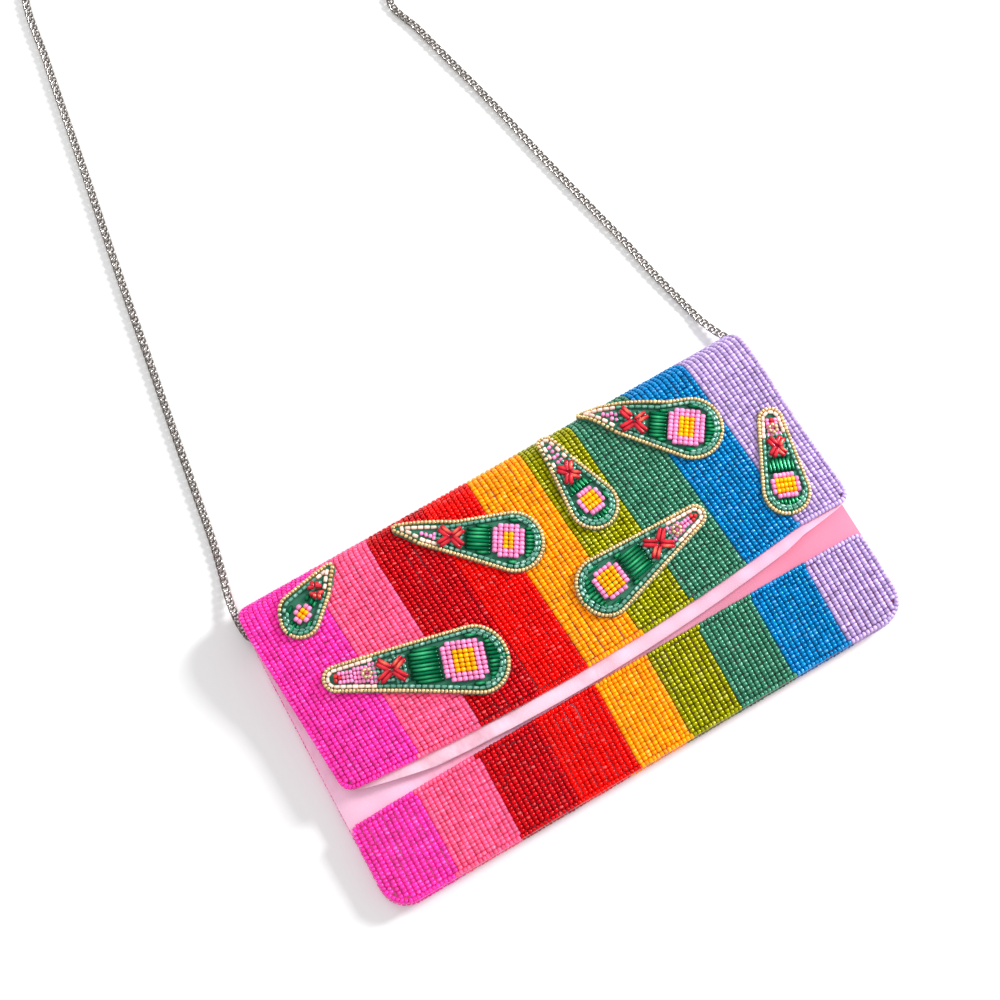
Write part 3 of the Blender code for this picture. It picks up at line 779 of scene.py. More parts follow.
@dataclass(frozen=True)
class Woven:
    """Plain-woven cloth.

    Fields:
        name: The material's name.
        deep: Colour of its shaded threads.
        lit: Colour of the others.
        threads: Radians of the weave's waves in a metre.
    """

    name: str
    deep: Colour
    lit: Colour
    threads: float = 1500.0

    def material(self) -> bpy.types.Material:
        """Weave the cloth.

        Returns:
            The material.
        """
        finish = Finish(self.name)
        weave = finish.add("ShaderNodeMath", operation="MULTIPLY")
        for socket, direction in zip(weave.inputs, ("X", "Y")):
            wave = finish.add("ShaderNodeTexWave", bands_direction=direction, Scale=self.threads / 6.283)
            finish.join(finish.place(), wave.inputs["Vector"])
            finish.join(wave.outputs["Fac"], socket)
        finish.mix(finish.ramp(finish.noise(60.0), 0.3, 0.7), self.deep, self.lit,
                   finish.shader.inputs["Base Color"])
        finish.bump(weave.outputs[0], 0.5, 0.0002)
        return finish.set(Roughness=0.8, Sheen_Weight=0.2, Specular_IOR_Level=0.25).material


@dataclass(frozen=True)
class Nickel:
    """Polished nickel, slightly warm, with faint handling marks."""

    name: str
    dark: Colour = (0.55, 0.51, 0.48)
    bright: Colour = (0.72, 0.68, 0.65)

    def material(self) -> bpy.types.Material:
        """Plate and polish it.

        Returns:
            The material.
        """
        finish = Finish(self.name)
        marks = finish.noise(900.0, 3.0)
        finish.mix(finish.ramp(marks, 0.35, 0.75), self.dark, self.bright,
                   finish.shader.inputs["Base Color"])
        finish.join(finish.stretch(marks, 0.14, 0.30), finish.shader.inputs["Roughness"])
        return finish.set(Metallic=1.0).material


@dataclass(frozen=True)
class Template:
    """A small shape that is strung many times: a bead, a bugle or a chain link."""

    mesh: bpy.types.Mesh
    spread: float = 0.02

    @classmethod
    def bead(cls, name: str, radius: float, length: float, bore: float = 0.60, sides: int = 8,
             belly: float = 0.94) -> "Template":
        """A round bead with rounded shoulders and a dimple at each hole.

        Args:
            name: The mesh's name.
            radius: Outer radius.
            length: Length along the hole.
            bore: Share of the radius at each end's rim.
            sides: Faces round it.
            belly: Share of the radius at the shoulders.

        Returns:
            The template, its hole along Z.
        """
        profile = ((bore, 0.5), (belly, 0.36), (1.0, 0.0), (belly, -0.36), (bore, -0.5))
        mesh = revolve([(radius * share, length * height) for share, height in profile], sides, False)
        bmesh.ops.holes_fill(mesh, edges=mesh.edges[:], sides=sides)
        return cls(keep_mesh(name, outward(mesh)))

    @classmethod
    def curb_link(cls, name: str, half_length: float, half_width: float, wire: float,
                  twist: float) -> "Template":
        """A curb link: a ring drawn long along Z, then twisted so that the chain lies flat.

        Args:
            name: The mesh's name.
            half_length: From its middle to the wire's middle at an end.
            half_width: From its middle to the wire's middle at a side.
            wire: Radius of the wire.
            twist: Radians that each end is turned.

        Returns:
            The template, its length along Z.
        """
        mesh = bmesh.new()
        circle = bmesh.ops.create_circle(mesh, segments=6, radius=wire)["verts"]
        bmesh.ops.translate(mesh, verts=circle, vec=(half_width, 0, 0))
        bmesh.ops.spin(mesh, geom=mesh.verts[:] + mesh.edges[:], cent=(0, 0, 0), axis=(0, 1, 0),
                       angle=math.tau, steps=16, use_merge=True)
        weld(mesh)
        stretch = half_length - half_width
        for vert in mesh.verts:
            vert.co.z += stretch * math.tanh(vert.co.z / half_width * 2.2)
            vert.co = Matrix.Rotation(twist * vert.co.z / half_length, 3, "Z") @ vert.co
        return cls(keep_mesh(name, outward(mesh)))

    def string(self, name: str, frames: "Frames") -> bpy.types.Mesh:
        """Copy the shape to every frame as one mesh.

        Args:
            name: The mesh's name.
            frames: Where each copy goes.

        Returns:
            The mesh, with three vertex numbers: a random tone, a painted glint, and painted light, bright
                over the bead's top and shaded at its flanks and holes.
        """
        count = len(frames.centre)
        strung = new_object(name, self.mesh)
        row = strung.modifiers.new("row", "ARRAY")
        row.count = count
        row.use_relative_offset = False
        row.use_constant_offset = True
        row.constant_offset_displace = (self.spread, 0.0, 0.0)
        data = baked(strung)
        data.name = name
        place = vertex_rows(data)
        which = np.clip(np.rint(place[:, 0] / self.spread).astype(int), 0, count - 1)
        local = place - np.outer(which, (self.spread, 0, 0))
        scaled = local * frames.scale[which]
        laid = (frames.centre[which] + frames.side[which] * scaled[:, :1]
                + frames.up[which] * scaled[:, 1:2] + frames.axis[which] * scaled[:, 2:])
        data.vertices.foreach_set("co", laid.astype(np.float32).ravel())
        # Painted light on each bead: a painted highlight over its top, where it faces off the cloth, fading
        # to painted shade at its flanks and towards its holes.
        radial = local[:, 1] / np.maximum(np.linalg.norm(local[:, :2], axis=1), 1e-9)
        reach = np.abs(local[:, 2]) / max(1e-9, np.abs(local[:, 2]).max())
        crest = np.clip(radial, 0.0, 1.0) * (1.0 - 0.85 * reach ** 2)
        # The painted glint sits on the very top of each sparkling bead.
        for label, values in (("tone", frames.tone[which]), ("crest", crest),
                              ("spark", frames.spark[which] * np.clip(crest * 3.2 - 2.0, 0, 1))):
            layer = data.attributes.new(label, "FLOAT", "POINT")
            layer.data.foreach_set("value", values.astype(np.float32))
        data.shade_smooth()
        data.update()
        return data


@dataclass
class Frames:
    """Places for strung shapes: rows of centre, side, up and axis vectors, scales and tones."""

    centre: np.ndarray
    side: np.ndarray
    up: np.ndarray
    axis: np.ndarray
    scale: np.ndarray
    tone: np.ndarray
    spark: np.ndarray
    share: np.ndarray
    part: np.ndarray

    @classmethod
    def make(cls, centre: np.ndarray, axis: np.ndarray, up: np.ndarray, seed: int,
             share: np.ndarray | None = None, part: np.ndarray | None = None,
             tilt: float = 0.07, swell: float = 0.05) -> "Frames":
        """Frames with a seeded tilt, size and tone each.

        Args:
            centre: Rows of places.
            axis: Rows of hole directions.
            up: Rows that point off the cloth.
            seed: For the random draws.
            share: Where each lies across the purse.
            part: A whole number each, such as which piece it belongs to.
            tilt: How far each may lean, as a share of its direction.
            swell: How far each size may differ.

        Returns:
            The frames.
        """
        draw = np.random.default_rng(seed)
        count = len(centre)
        axis = unit(axis + draw.normal(0, tilt, (count, 3)))
        side = unit(np.cross(up, axis))
        return cls(centre, side, np.cross(axis, side), axis,
                   1.0 + draw.normal(0, swell, (count, 3)).clip(-2 * swell, 2 * swell),
                   draw.random(count), draw.random(count),
                   np.zeros(count) if share is None else share,
                   np.zeros(count, int) if part is None else part)

    @classmethod
    def join(cls, sets: Sequence["Frames"]) -> "Frames":
        """The frames of several sets as one."""
        return cls(*(np.concatenate([getattr(frames, key) for frames in sets])
                     for key in cls.__dataclass_fields__))

    def pick(self, keep: np.ndarray) -> "Frames":
        """The frames that a mask keeps."""
        return Frames(*(getattr(self, key)[keep] for key in self.__dataclass_fields__))

    def sparkle(self, share: float) -> "Frames":
        """Give a share of the beads a painted glint and the rest none."""
        self.spark = np.where(self.spark < share, 0.35 + 0.65 * self.tone, 0.0)
        return self


def along_line(points: np.ndarray, pitch: float, draw: np.random.Generator | None = None,
               wander: float = 0.0) -> tuple[np.ndarray, np.ndarray]:
    """Even marks that fill a line of points.

    Args:
        points: The line's points, in order.
        pitch: Distance between marks, near enough.
        draw: For uneven marks.
        wander: How far a mark may stray, in pitches.

    Returns:
        Index of each mark in the line, as fractions, and the unit tangent there.
    """
    run = run_along(points)
    count = max(1, round(run[-1] / pitch))
    marks = (np.arange(count) + 0.5) * run[-1] / count
    if draw is not None:
        marks = marks + draw.normal(0, wander * pitch, count)
    index = np.interp(marks, run, np.arange(len(points)))
    return index, unit(at(index, unit(np.gradient(points, axis=0))))


def rounded_inset(distance: np.ndarray, radius: float) -> np.ndarray:
    """How far a rounded corner draws an edge in, at a distance from the hem."""
    near = np.clip(radius - distance, 0.0, radius)
    return radius - np.sqrt(radius ** 2 - near ** 2)


@dataclass
class Panel:
    """One cut piece of cloth, with its outline in x and stations.

    Fields:
        surface: Where a point of the cloth lies.
        edges: Left and right edge at a station.
        low: First station.
        high: Last station.
        low_corner: Radius of the two corners at the first station.
        high_corner: Radius of the two corners at the last one.
        outward: 1 where the outside lies above, -1 where it lies below.
    """

    surface: Surface
    edges: Edges
    low: float
    high: float
    low_corner: float = 0.0
    high_corner: float = 0.0
    outward: int = 1

    def spot(self, share: np.ndarray, station: np.ndarray, inset: np.ndarray | float) -> np.ndarray:
        """X at a share of the width, drawn in by an inset at both edges."""
        left, right = self.edges(station)
        return left + inset + (right - left - 2 * inset) * share

    def normals(self, x: np.ndarray, station: np.ndarray, depth: float) -> tuple[np.ndarray, np.ndarray]:
        """Which way the cloth faces and runs.

        Args:
            x: Rows of places across.
            station: Rows of stations.
            depth: Depth on the surface.

        Returns:
            The outward normals and the upward tangents.
        """
        run = unit(self.surface(x, station + PROBE, depth) - self.surface(x, station - PROBE, depth))
        across = self.surface(x + PROBE, station, depth) - self.surface(x - PROBE, station, depth)
        return unit(np.cross(across, run)) * self.outward, run

    def inside(self, x: np.ndarray, station: np.ndarray, low_open: bool, high_open: bool
               ) -> np.ndarray:
        """Distance from the outline to each point inside it.

        Args:
            x: Rows of places across.
            station: Rows of stations.
            low_open: The first station is not an edge.
            high_open: The last station is not an edge.

        Returns:
            The distances, in metres.
        """
        left, right = self.edges(station)
        side = np.minimum(x - left, right - x)
        low = np.full_like(side, 1.0) if low_open else station - self.low
        high = np.full_like(side, 1.0) if high_open else self.high - station
        distance = np.minimum(side, np.minimum(low, high))
        for end, radius in ((low, self.low_corner), (high, self.high_corner)):
            if radius:
                corner = (side < radius) & (end < radius)
                round_off = radius - np.hypot(radius - side, radius - end)
                distance = np.where(corner, round_off, distance)
        return distance

    def outline(self, inset: float, low_open: bool, high_open: bool) -> tuple[np.ndarray, np.ndarray]:
        """The outline, drawn in by an inset: left side, low end, right side, high end.

        Args:
            inset: How far inside the edge the line runs.
            low_open: Leave out the low end.
            high_open: Leave out the high end.

        Returns:
            X and station along it.
        """
        xs, stations = [], []

        def corner(side: int, station: float, radius: float, start: float, end: float) -> None:
            """Points round one corner.

            Args:
                side: -1 for the left, 1 for the right.
                station: Of the end it is at.
                radius: Of the corner.
                start: First angle.
                end: Last angle.
            """
            reach = max(radius, inset * 1.01)
            toward = 1 if station == self.low else -1
            centre = station + toward * reach
            edge = self.edges(np.array([centre]))[0 if side < 0 else 1][0]
            for turn in np.linspace(start, end, 9):
                xs.append(edge - side * reach + (reach - inset) * math.cos(turn))
                stations.append(centre + (reach - inset) * math.sin(turn))

        def flank(side: int, start: float, end: float) -> None:
            """Points along one side.

            Args:
                side: -1 for the left, 1 for the right.
                start: First station.
                end: Last station.
            """
            for station in np.linspace(start, end, FLANK_POINTS):
                edge = self.edges(np.array([station]))[0 if side < 0 else 1][0]
                xs.append(edge - side * inset)
                stations.append(station)

        low = self.low if low_open else self.low + max(self.low_corner, inset * 1.01)
        high = self.high if high_open else self.high - max(self.high_corner, inset * 1.01)
        flank(-1, high, low)
        if not low_open:
            corner(-1, self.low, self.low_corner, math.pi, 1.5 * math.pi)
            corner(1, self.low, self.low_corner, 1.5 * math.pi, math.tau)
        flank(1, low, high)
        if not high_open:
            corner(1, self.high, self.high_corner, 0.0, 0.5 * math.pi)
            corner(-1, self.high, self.high_corner, 0.5 * math.pi, math.pi)
            xs.append(xs[0])
            stations.append(stations[0])
        return np.array(xs), np.array(stations)


@dataclass
class Cloth:
    """A sheet cut to a panel, with softness: a puffed upper side and a seeded wave.

    Fields:
        panel: The cut.
        depths: Depths of its two faces on the panel's surface.
        margin: How far inside the panel's outline it is cut.
        puff: Extra thickness at x and a station.
        dip: How far the first station is cut back, at a share of the width.
        wave: Height of the soft ripples.
        ripple: Ripples a metre.
        cells: Grid cells across and along.
        bunching: How far the rows of cells are drawn towards both ends.
    """

    panel: Panel
    depths: tuple[float, float]
    margin: float = 0.0
    puff: Callable[[np.ndarray, np.ndarray], np.ndarray] | None = None
    dip: Callable[[np.ndarray], np.ndarray] | None = None
    wave: float = 0.0
    ripple: tuple[float, float] = (60.0, 60.0)
    cells: tuple[int, int] = (96, 48)
    bunching: float = 0.11

    def build(self, name: str, finish: bpy.types.Material) -> bpy.types.Object:
        """Lay the sheet in place.

        Args:
            name: The piece's name.
            finish: Its material.

        Returns:
            The piece.
        """
        data = keep_mesh(name, outward(slab(self.cells)))
        across, along, top = (vertex_rows(data) + (0.5, 0.5, 0.0)).T
        along = along - self.bunching * np.sin(math.tau * along)
        low, high = self.panel.low + self.margin, self.panel.high - self.margin
        low = low + (0.0 if self.dip is None else self.dip(across))
        station = low + (high - low) * along
        inset = self.margin + rounded_inset(station - low, max(1e-6, self.panel.low_corner))
        inset = inset + rounded_inset(high - station, max(1e-6, self.panel.high_corner))
        x = self.panel.spot(across, station, inset)
        depth = self.depths[0] + (self.depths[1] - self.depths[0]) * top
        place = self.panel.surface(x, station, depth)
        lift = np.zeros(len(x))
        if self.puff is not None:
            lift += top * self.puff(x, station)
        if self.wave:
            lift += self.wave * np.array([
                noise.noise(Vector((a * self.ripple[0], b * self.ripple[1], self.depths[0] * 900)))
                for a, b in zip(x, station)])
        place += self.panel.normals(x, station, self.depths[0])[0] * lift[:, None]
        data.vertices.foreach_set("co", place.astype(np.float32).ravel())
        if self.panel.surface(np.array([0.0]), np.array([self.panel.low]), 1.0)[0, 2] < 0:
            data.flip_normals()
        data.set_sharp_from_angle(angle=SHARP_CLOTH)
        data.update()
        return new_object(name, data, finish)

    def flat_size(self) -> tuple[float, float]:
        """Width and length of the cut on the table, before it was sewn.

        Returns:
            The two sizes, in metres.
        """
        middle = (self.panel.low + self.panel.high) / 2
        left, right = self.panel.edges(np.array([self.panel.low, middle, self.panel.high]))
        stations = np.linspace(self.panel.low, self.panel.high, 120)
        line = self.panel.surface(np.zeros(120), stations, self.depths[0])
        return float((right - left).max()), float(steps_of(line).sum())


@dataclass
class SeamAllowance:
    """The front's cloth turned down to the back along the sides and the hem.

    Fields:
        panel: The front, as far up as the side seams run.
        inset: How far inside the outline it lies.
        thickness: Of the cloth.
        low: Height of its lower edge.
        depth: Depth of its upper edge on the front.
        rows: Cells down it.
    """

    panel: Panel
    inset: float = 0.0008
    thickness: float = 0.0006
    low: float = 0.0020
    depth: float = 0.0059
    rows: int = 6

    def top(self, x: np.ndarray, station: np.ndarray) -> np.ndarray:
        """Height of its upper edge."""
        return self.panel.surface(x, station, self.depth)[..., 2]

    def build(self, name: str, finish: bpy.types.Material) -> bpy.types.Object:
        """Turn the cloth down round the sides and the hem.

        Args:
            name: The piece's name.
            finish: Its material.

        Returns:
            The piece.
        """
        mesh = bmesh.new()
        x, station = self.panel.outline(self.inset, False, True)
        _, edges = polyline(mesh, np.stack([x, station, np.zeros(len(x))], -1))
        widen(mesh, edges, self.rows, (0, 0, 1))
        for vert in mesh.verts:
            top = float(self.top(np.array(vert.co.x), np.array(vert.co.y)))
            vert.co.z = self.low + (top - self.low) * vert.co.z / self.rows
        data = keep_mesh(name, thicken(mesh, self.thickness))
        data.set_sharp_from_angle(angle=SHARP_CLOTH)
        return new_object(name, data, finish)

    @property
    def length(self) -> float:
        """Length of the strip."""
        x, station = self.panel.outline(self.inset, False, True)
        return float(steps_of(np.stack([x, station], -1)).sum())


@dataclass
class BeadField:
    """Strung columns of beads that cover a panel, with one row round its outline.

    Fields:
        label: Where it is on the purse.
        panel: The cloth it is sewn to.
        depth: Depth of the beads' holes on the panel's surface.
        shares: Where each stripe ends across the width.
        counts: Columns in each stripe.
        low_open: No row along the first station.
        high_open: No row along the last one.
        squash: Height of a bead, as a share of its width.
        seed: For the random draws.
        pitch: Distance between beads along a column.
        rim: How far inside the outline the outline's row runs.
        end_gap: Where the columns end, in rims from the panel's ends.
        edge_gap: How near a bead may come to the outline, in rims.
        samples: Points that a column is measured at.
    """

    label: str
    panel: Panel
    depth: float
    shares: Sequence[float]
    counts: Sequence[int]
    low_open: bool = False
    high_open: bool = False
    squash: float = 1.0
    seed: int = 1
    pitch: float = 0.00176
    rim: float = 0.0011
    end_gap: float = 2.1
    edge_gap: float = 2.35
    samples: int = 500

    def columns(self) -> Frames:
        """Places of every bead in the columns.

        Returns:
            The beads' frames.
        """
        rows = []
        draw = np.random.default_rng(self.seed)
        gap = self.end_gap * self.rim
        stations = np.linspace(self.panel.low + (0.0 if self.low_open else gap),
                               self.panel.high - (0.0 if self.high_open else gap), self.samples)
        for stripe, (low, high, count) in enumerate(zip(self.shares, self.shares[1:], self.counts)):
            for column in range(count):
                share = low + (high - low) * (column + 0.5) / count
                sway = 0.00005 * np.cumsum(draw.normal(0, 0.12, self.samples))
                x = self.panel.spot(share, stations, 2.0 * self.rim) + sway - sway.mean()
                line = self.panel.surface(x, stations, self.depth)
                index, _ = along_line(line, self.pitch, draw, 0.05)
                rows.append(np.stack([at(index, x), at(index, stations),
                                      np.full(len(index), share), np.full(len(index), stripe)], -1))
        x, station, share, part = np.concatenate(rows).T
        keep = self.panel.inside(x, station, self.low_open, self.high_open) > self.edge_gap * self.rim
        return self.lay(x[keep], station[keep], share[keep], part[keep].astype(int), None)

    def border(self) -> Frames:
        """Places of the beads round the outline, their holes along it.

        Returns:
            The beads' frames.
        """
        x, station = self.panel.outline(self.rim, self.low_open, self.high_open)
        line = self.panel.surface(x, station, self.depth)
        rows, tangents = [], []
        joins = [0, FLANK_POINTS, len(x)] if self.low_open else [0, len(x)]
        for start, end in zip(joins, joins[1:]):
            index, tangent = along_line(line[start:end], self.pitch * 1.06)
            rows.append(np.stack([at(index, x[start:end]), at(index, station[start:end])], -1))
            tangents.append(tangent)
        x, station = np.concatenate(rows).T
        left, right = self.panel.edges(station)
        share = np.clip((x - left) / (right - left), 0.001, 0.999)
        part = np.searchsorted(self.shares, share, side="right") - 1
        return self.lay(x, station, share, part, np.concatenate(tangents))

    def lay(self, x: np.ndarray, station: np.ndarray, share: np.ndarray, part: np.ndarray,
            axis: np.ndarray | None) -> Frames:
        """Frames on the cloth.

        Args:
            x: Rows of places across.
            station: Rows of stations.
            share: Shares across the width.
            part: The stripe each belongs to.
            axis: Hole directions, or none for holes along the columns.

        Returns:
            The frames.
        """
        up, run = self.panel.normals(x, station, self.depth)
        frames = Frames.make(self.panel.surface(x, station, self.depth), run if axis is None else axis,
                             up, self.seed + len(x), share, part)
        frames.scale[:, 1] *= self.squash
        return frames

    def build(self, template: Template, finishes: dict[Stripe, bpy.types.Material]
              ) -> dict[Stripe, bpy.types.Object]:
        """String every stripe as a piece of its own.

        Args:
            template: The bead.
            finishes: A glass for each stripe.

        Returns:
            The pieces by stripe.
        """
        field_frames, border = self.columns(), self.border()
        made = {}
        for index, stripe in enumerate(STRIPES):
            joined = Frames.join([frames.pick(frames.part == index) for frames in (field_frames, border)])
            name = f"beads_{self.label}_{stripe.label}"
            data = template.string(name, joined.sparkle(stripe.sparkle))
            made[stripe] = new_object(name, data, finishes[stripe])
        return made


@dataclass
class Motif:
    """A raised teardrop of beads: the hull of a small circle at its tip and a large one at its end.

    Fields:
        name: Where it is.
        tip: X and station of the tip circle's centre.
        end: The same for the round end.
        tip_radius: Of the tip circle.
        end_radius: Of the round end.
        square: Beads of the pink square, across the teardrop's axis and along it.
        core: The same for its yellow middle.
        cross: Reach of the cross of bugles.
        panel: The flap it is sewn to.
        depth: Depth of its beads' holes on the flap's surface.
        seed_width: Distance between the square's beads along their rows.
        seed_pitch: Distance between those rows.
        bugle_width: Distance between bugles side by side.
        bugle_length: Of the bugle's template.
        rim: How far inside the outline the fills begin.
        flower_tip: Tips rounder than this hold a flower.
    """

    name: str
    tip: tuple[float, float]
    end: tuple[float, float]
    tip_radius: float
    end_radius: float
    square: tuple[int, int]
    core: tuple[int, int]
    cross: float
    panel: Panel
    depth: float = 0.0064
    seed_width: float = 0.0018
    seed_pitch: float = 0.0023
    bugle_width: float = 0.00165
    bugle_length: float = 0.0020
    rim: float = 0.0040
    flower_tip: float = 0.005

    @property
    def length(self) -> float:
        """From the tip circle's centre to the round end's."""
        return math.dist(self.tip, self.end)

    @property
    def slope(self) -> float:
        """How fast it widens."""
        return (self.end_radius - self.tip_radius) / self.length

    @property
    def axes(self) -> tuple[np.ndarray, np.ndarray]:
        """Unit directions along it and across it."""
        along = (np.array(self.end) - self.tip) / self.length
        return along, np.array((-along[1], along[0]))

    def radius_at(self, a: np.ndarray, inset: float) -> np.ndarray:
        """Half the hull's width at a point along its axis.

        Args:
            a: Distances along the axis from the tip.
            inset: How far the hull is drawn in.

        Returns:
            The half widths.
        """
        slope = self.slope
        lean = math.sqrt(1 - slope ** 2)
        tip, end = self.tip_radius - inset, self.end_radius - inset
        line = tip / lean + a * slope / lean
        on_tip = np.sqrt(np.clip(tip ** 2 - a ** 2, 0, None)) if tip > 0 else np.zeros_like(a)
        on_end = np.sqrt(np.clip(end ** 2 - (a - self.length) ** 2, 0, None))
        half = np.where(a < -slope * tip, on_tip, np.where(a > self.length - slope * end, on_end, line))
        return np.clip(half, 0.0, None)

    def lay(self, a: np.ndarray, b: np.ndarray, turn: np.ndarray | float, raised: float,
            seed: int, stretch: np.ndarray | float = 1.0, tilt: float = 0.04,
            shine: float = 0.0) -> Frames:
        """Frames for beads at places on the teardrop.

        Args:
            a: Distance along its axis from the tip.
            b: Distance across it.
            turn: Angle from the axis to each bead's hole, in radians.
            raised: Height above the pad.
            seed: For the random draws.
            stretch: Length of each, as a share of the template's.
            tilt: How far each may lean.
            shine: Share of them with a painted glint.

        Returns:
            The frames.
        """
        along, side = self.axes
        spot = np.array(self.tip) + np.outer(a, along) + np.outer(b, side)
        turn = np.broadcast_to(np.asarray(turn, float), len(a))
        way = np.outer(np.cos(turn), along) + np.outer(np.sin(turn), side)
        depth = self.depth + raised
        centre = self.panel.surface(*spot.T, depth)
        ahead = self.panel.surface(*(spot + way * PROBE).T, depth)
        up, _ = self.panel.normals(*spot.T, depth)
        frames = Frames.make(centre, unit(ahead - centre), up, seed, tilt=tilt, swell=0.04)
        frames.scale[:, 2] *= stretch
        return frames.sparkle(shine)

    def ring(self, inset: float, pitch: float) -> tuple[np.ndarray, np.ndarray, np.ndarray]:
        """Even marks round the teardrop.

        Args:
            inset: How far inside the outline they run.
            pitch: Distance between them, near enough.

        Returns:
            Distance along the axis, distance across it and direction of each.
        """
        swing = math.acos(self.slope)
        tip, end = self.tip_radius - inset, self.end_radius - inset
        start, least = 0.0, 0.0002
        if tip < least:
            start = (least - tip) * self.length / (end - tip)
            tip = least
        turns_end = np.linspace(-(math.pi - swing), math.pi - swing, 40)
        turns_tip = np.linspace(math.pi - swing, math.pi + swing, 24)
        a = np.concatenate([self.length + end * np.cos(turns_end), start + tip * np.cos(turns_tip)])
        b = np.concatenate([end * np.sin(turns_end), tip * np.sin(turns_tip)])
        line = np.stack([np.append(a, a[0]), np.append(b, b[0]), np.zeros(len(a) + 1)], -1)
        around = steps_of(line).sum()
        marks = np.arange(max(6, round(around / pitch))) + 0.5
        index = np.interp(marks * around / len(marks), run_along(line), np.arange(len(line)))
        ahead = at(np.minimum(index + 0.02, len(line) - 1), line) - at(np.maximum(index - 0.02, 0), line)
        return *at(index, line).T[:2], np.arctan2(ahead[:, 1], ahead[:, 0])

    def zones(self) -> tuple[float, float, float, float]:
        """Where the tip's fill ends, the cross lies, the bugles start and the square's centre is.

        Returns:
            The four distances along the axis from the tip.
        """
        start, end = -self.tip_radius, self.length + self.end_radius
        whole = end - start
        square = end - self.rim - 0.075 * whole - self.square[1] * self.seed_pitch / 2
        cross = start + 0.375 * whole
        return cross - self.cross, cross, cross + 0.95 * self.cross, square

    def fill(self, pitch: float, low: float, high: float, inset: float) -> tuple[np.ndarray, np.ndarray]:
        """Beads in a tight pack over part of the teardrop.

        Args:
            pitch: Distance between them.
            low: Where the pack starts along the axis.
            high: Where it ends.
            inset: How far inside the outline it stays.

        Returns:
            Distance along the axis and across it of each.
        """
        rows_a, rows_b = [], []
        for a in np.arange(low, high, pitch * 0.92):
            half = float(self.radius_at(np.array([a]), inset)[0])
            count = int(2 * half / pitch + 0.35)
            if count:
                rows_b.append((np.arange(count) - (count - 1) / 2) * pitch)
                rows_a.append(np.full(count, a))
        if not rows_a:
            return np.zeros(0), np.zeros(0)
        return np.concatenate(rows_a), np.concatenate(rows_b)

    def bugle_rows(self) -> tuple[np.ndarray, np.ndarray, np.ndarray]:
        """Long bugles laid lengthwise round the square: centre, offset and length of each.

        Returns:
            Distance along the axis, distance across it and length of each.
        """
        _, _, start, square = self.zones()
        keep_across = self.square[0] * self.seed_width / 2
        keep_along = self.square[1] * self.seed_pitch / 2 + 0.0001
        limit = self.end_radius - self.rim + 0.0004
        count = max(2, round(2 * limit / self.bugle_width))
        centres, offsets, lengths = [], [], []
        for row in range(count):
            b = (row - (count - 1) / 2) * 2 * limit / count
            grid = np.linspace(start, self.length + self.end_radius, 400)
            free = self.radius_at(grid, self.rim) >= abs(b)
            if abs(b) < keep_across + self.bugle_width * 0.3:
                free &= np.abs(grid - square) > keep_along
            edges = np.flatnonzero(np.diff(np.concatenate(([0], free.astype(int), [0]))))
            for low, high in zip(edges[::2], edges[1::2]):
                span = grid[high - 1] - grid[low]
                if span > 0.0014:
                    pieces = max(1, round(span / 0.0130))
                    centres.extend(grid[low] + span * (np.arange(pieces) + 0.5) / pieces)
                    offsets.extend([b] * pieces)
                    lengths.extend([span / pieces * 0.94] * pieces)
        return np.array(centres), np.array(offsets), np.array(lengths)

    def pad(self, finish: bpy.types.Material) -> bpy.types.Object:
        """The felt pad under the beads.

        Args:
            finish: The felt.

        Returns:
            The pad.
        """
        mesh = slab((48, 10))
        along, side = self.axes
        for vert in mesh.verts:
            share = 0.5 - 0.5 * math.cos(math.pi * (vert.co.x + 0.5))
            a = -self.tip_radius + share * (self.length + self.tip_radius + self.end_radius)
            half = float(self.radius_at(np.array([a]), 0.0)[0])
            spot = np.array(self.tip) + along * a + side * (2 * vert.co.y * half)
            depth = self.depth - 0.0013 + 0.0008 * vert.co.z * (1 - (2 * vert.co.y) ** 8)
            vert.co = self.panel.surface(spot[:1], spot[1:], depth)[0]
        bmesh.ops.remove_doubles(mesh, verts=mesh.verts[:], dist=2e-6)
        data = keep_mesh(f"motif_{self.name}_pad", outward(mesh))
        data.shade_smooth()
        return new_object(data.name, data, finish)

    def edging(self, tip_end: float) -> dict[str, Frames]:
        """The gold outline, and the bugles inside it round the body and the tip.

        Args:
            tip_end: Where the tip's part ends.

        Returns:
            The frames by kind of bead.
        """
        a, b, turn = self.ring(0.0009, 0.00158)
        rows = {"gold": self.lay(a, b, turn, -0.0001, 11, 0.92)}
        rings = [self.ring(0.0026, 0.0026), self.ring(0.0038, 0.0026)]
        a, b, turn = (np.concatenate(both) for both in zip(*rings))
        outer = np.arange(len(a)) < len(rings[0][0])
        body = (a > tip_end) & (outer | (a > self.length))
        tip = (a <= tip_end) & outer
        rows["seafoam"] = self.lay(a[body], b[body], turn[body], 0.0, 12, 1.2, shine=0.3)
        rows["peach"] = self.lay(a[tip], b[tip], turn[tip], 0.0, 13, 1.2)
        return rows

    def tip_fill(self, tip_end: float) -> dict[str, Frames]:
        """The small beads in the tip, with a berry and a flower where it is round enough.

        Args:
            tip_end: Where the tip's part ends.

        Returns:
            The frames by kind of bead.
        """
        a, b = self.fill(self.seed_width, 0.0, tip_end, self.rim - 0.0002)
        flower = self.tip_radius > self.flower_tip
        berry = flower & (np.hypot(a - 0.0006, b) < 0.0017)
        rows = {"rose": self.lay(a[~berry], b[~berry], math.pi / 2, 0.0, 14)}
        if flower:
            middle, reach = tip_end - 0.0034, 0.0017
            turn = np.linspace(0, math.tau, 6, endpoint=False)
            rows["berry"] = self.lay(a[berry], b[berry], math.pi / 2, 0.0003, 22)
            rows["petal"] = self.lay(middle + reach * np.cos(turn), reach * np.sin(turn), turn, 0.0012, 21,
                                     0.8, shine=0.5)
        return rows

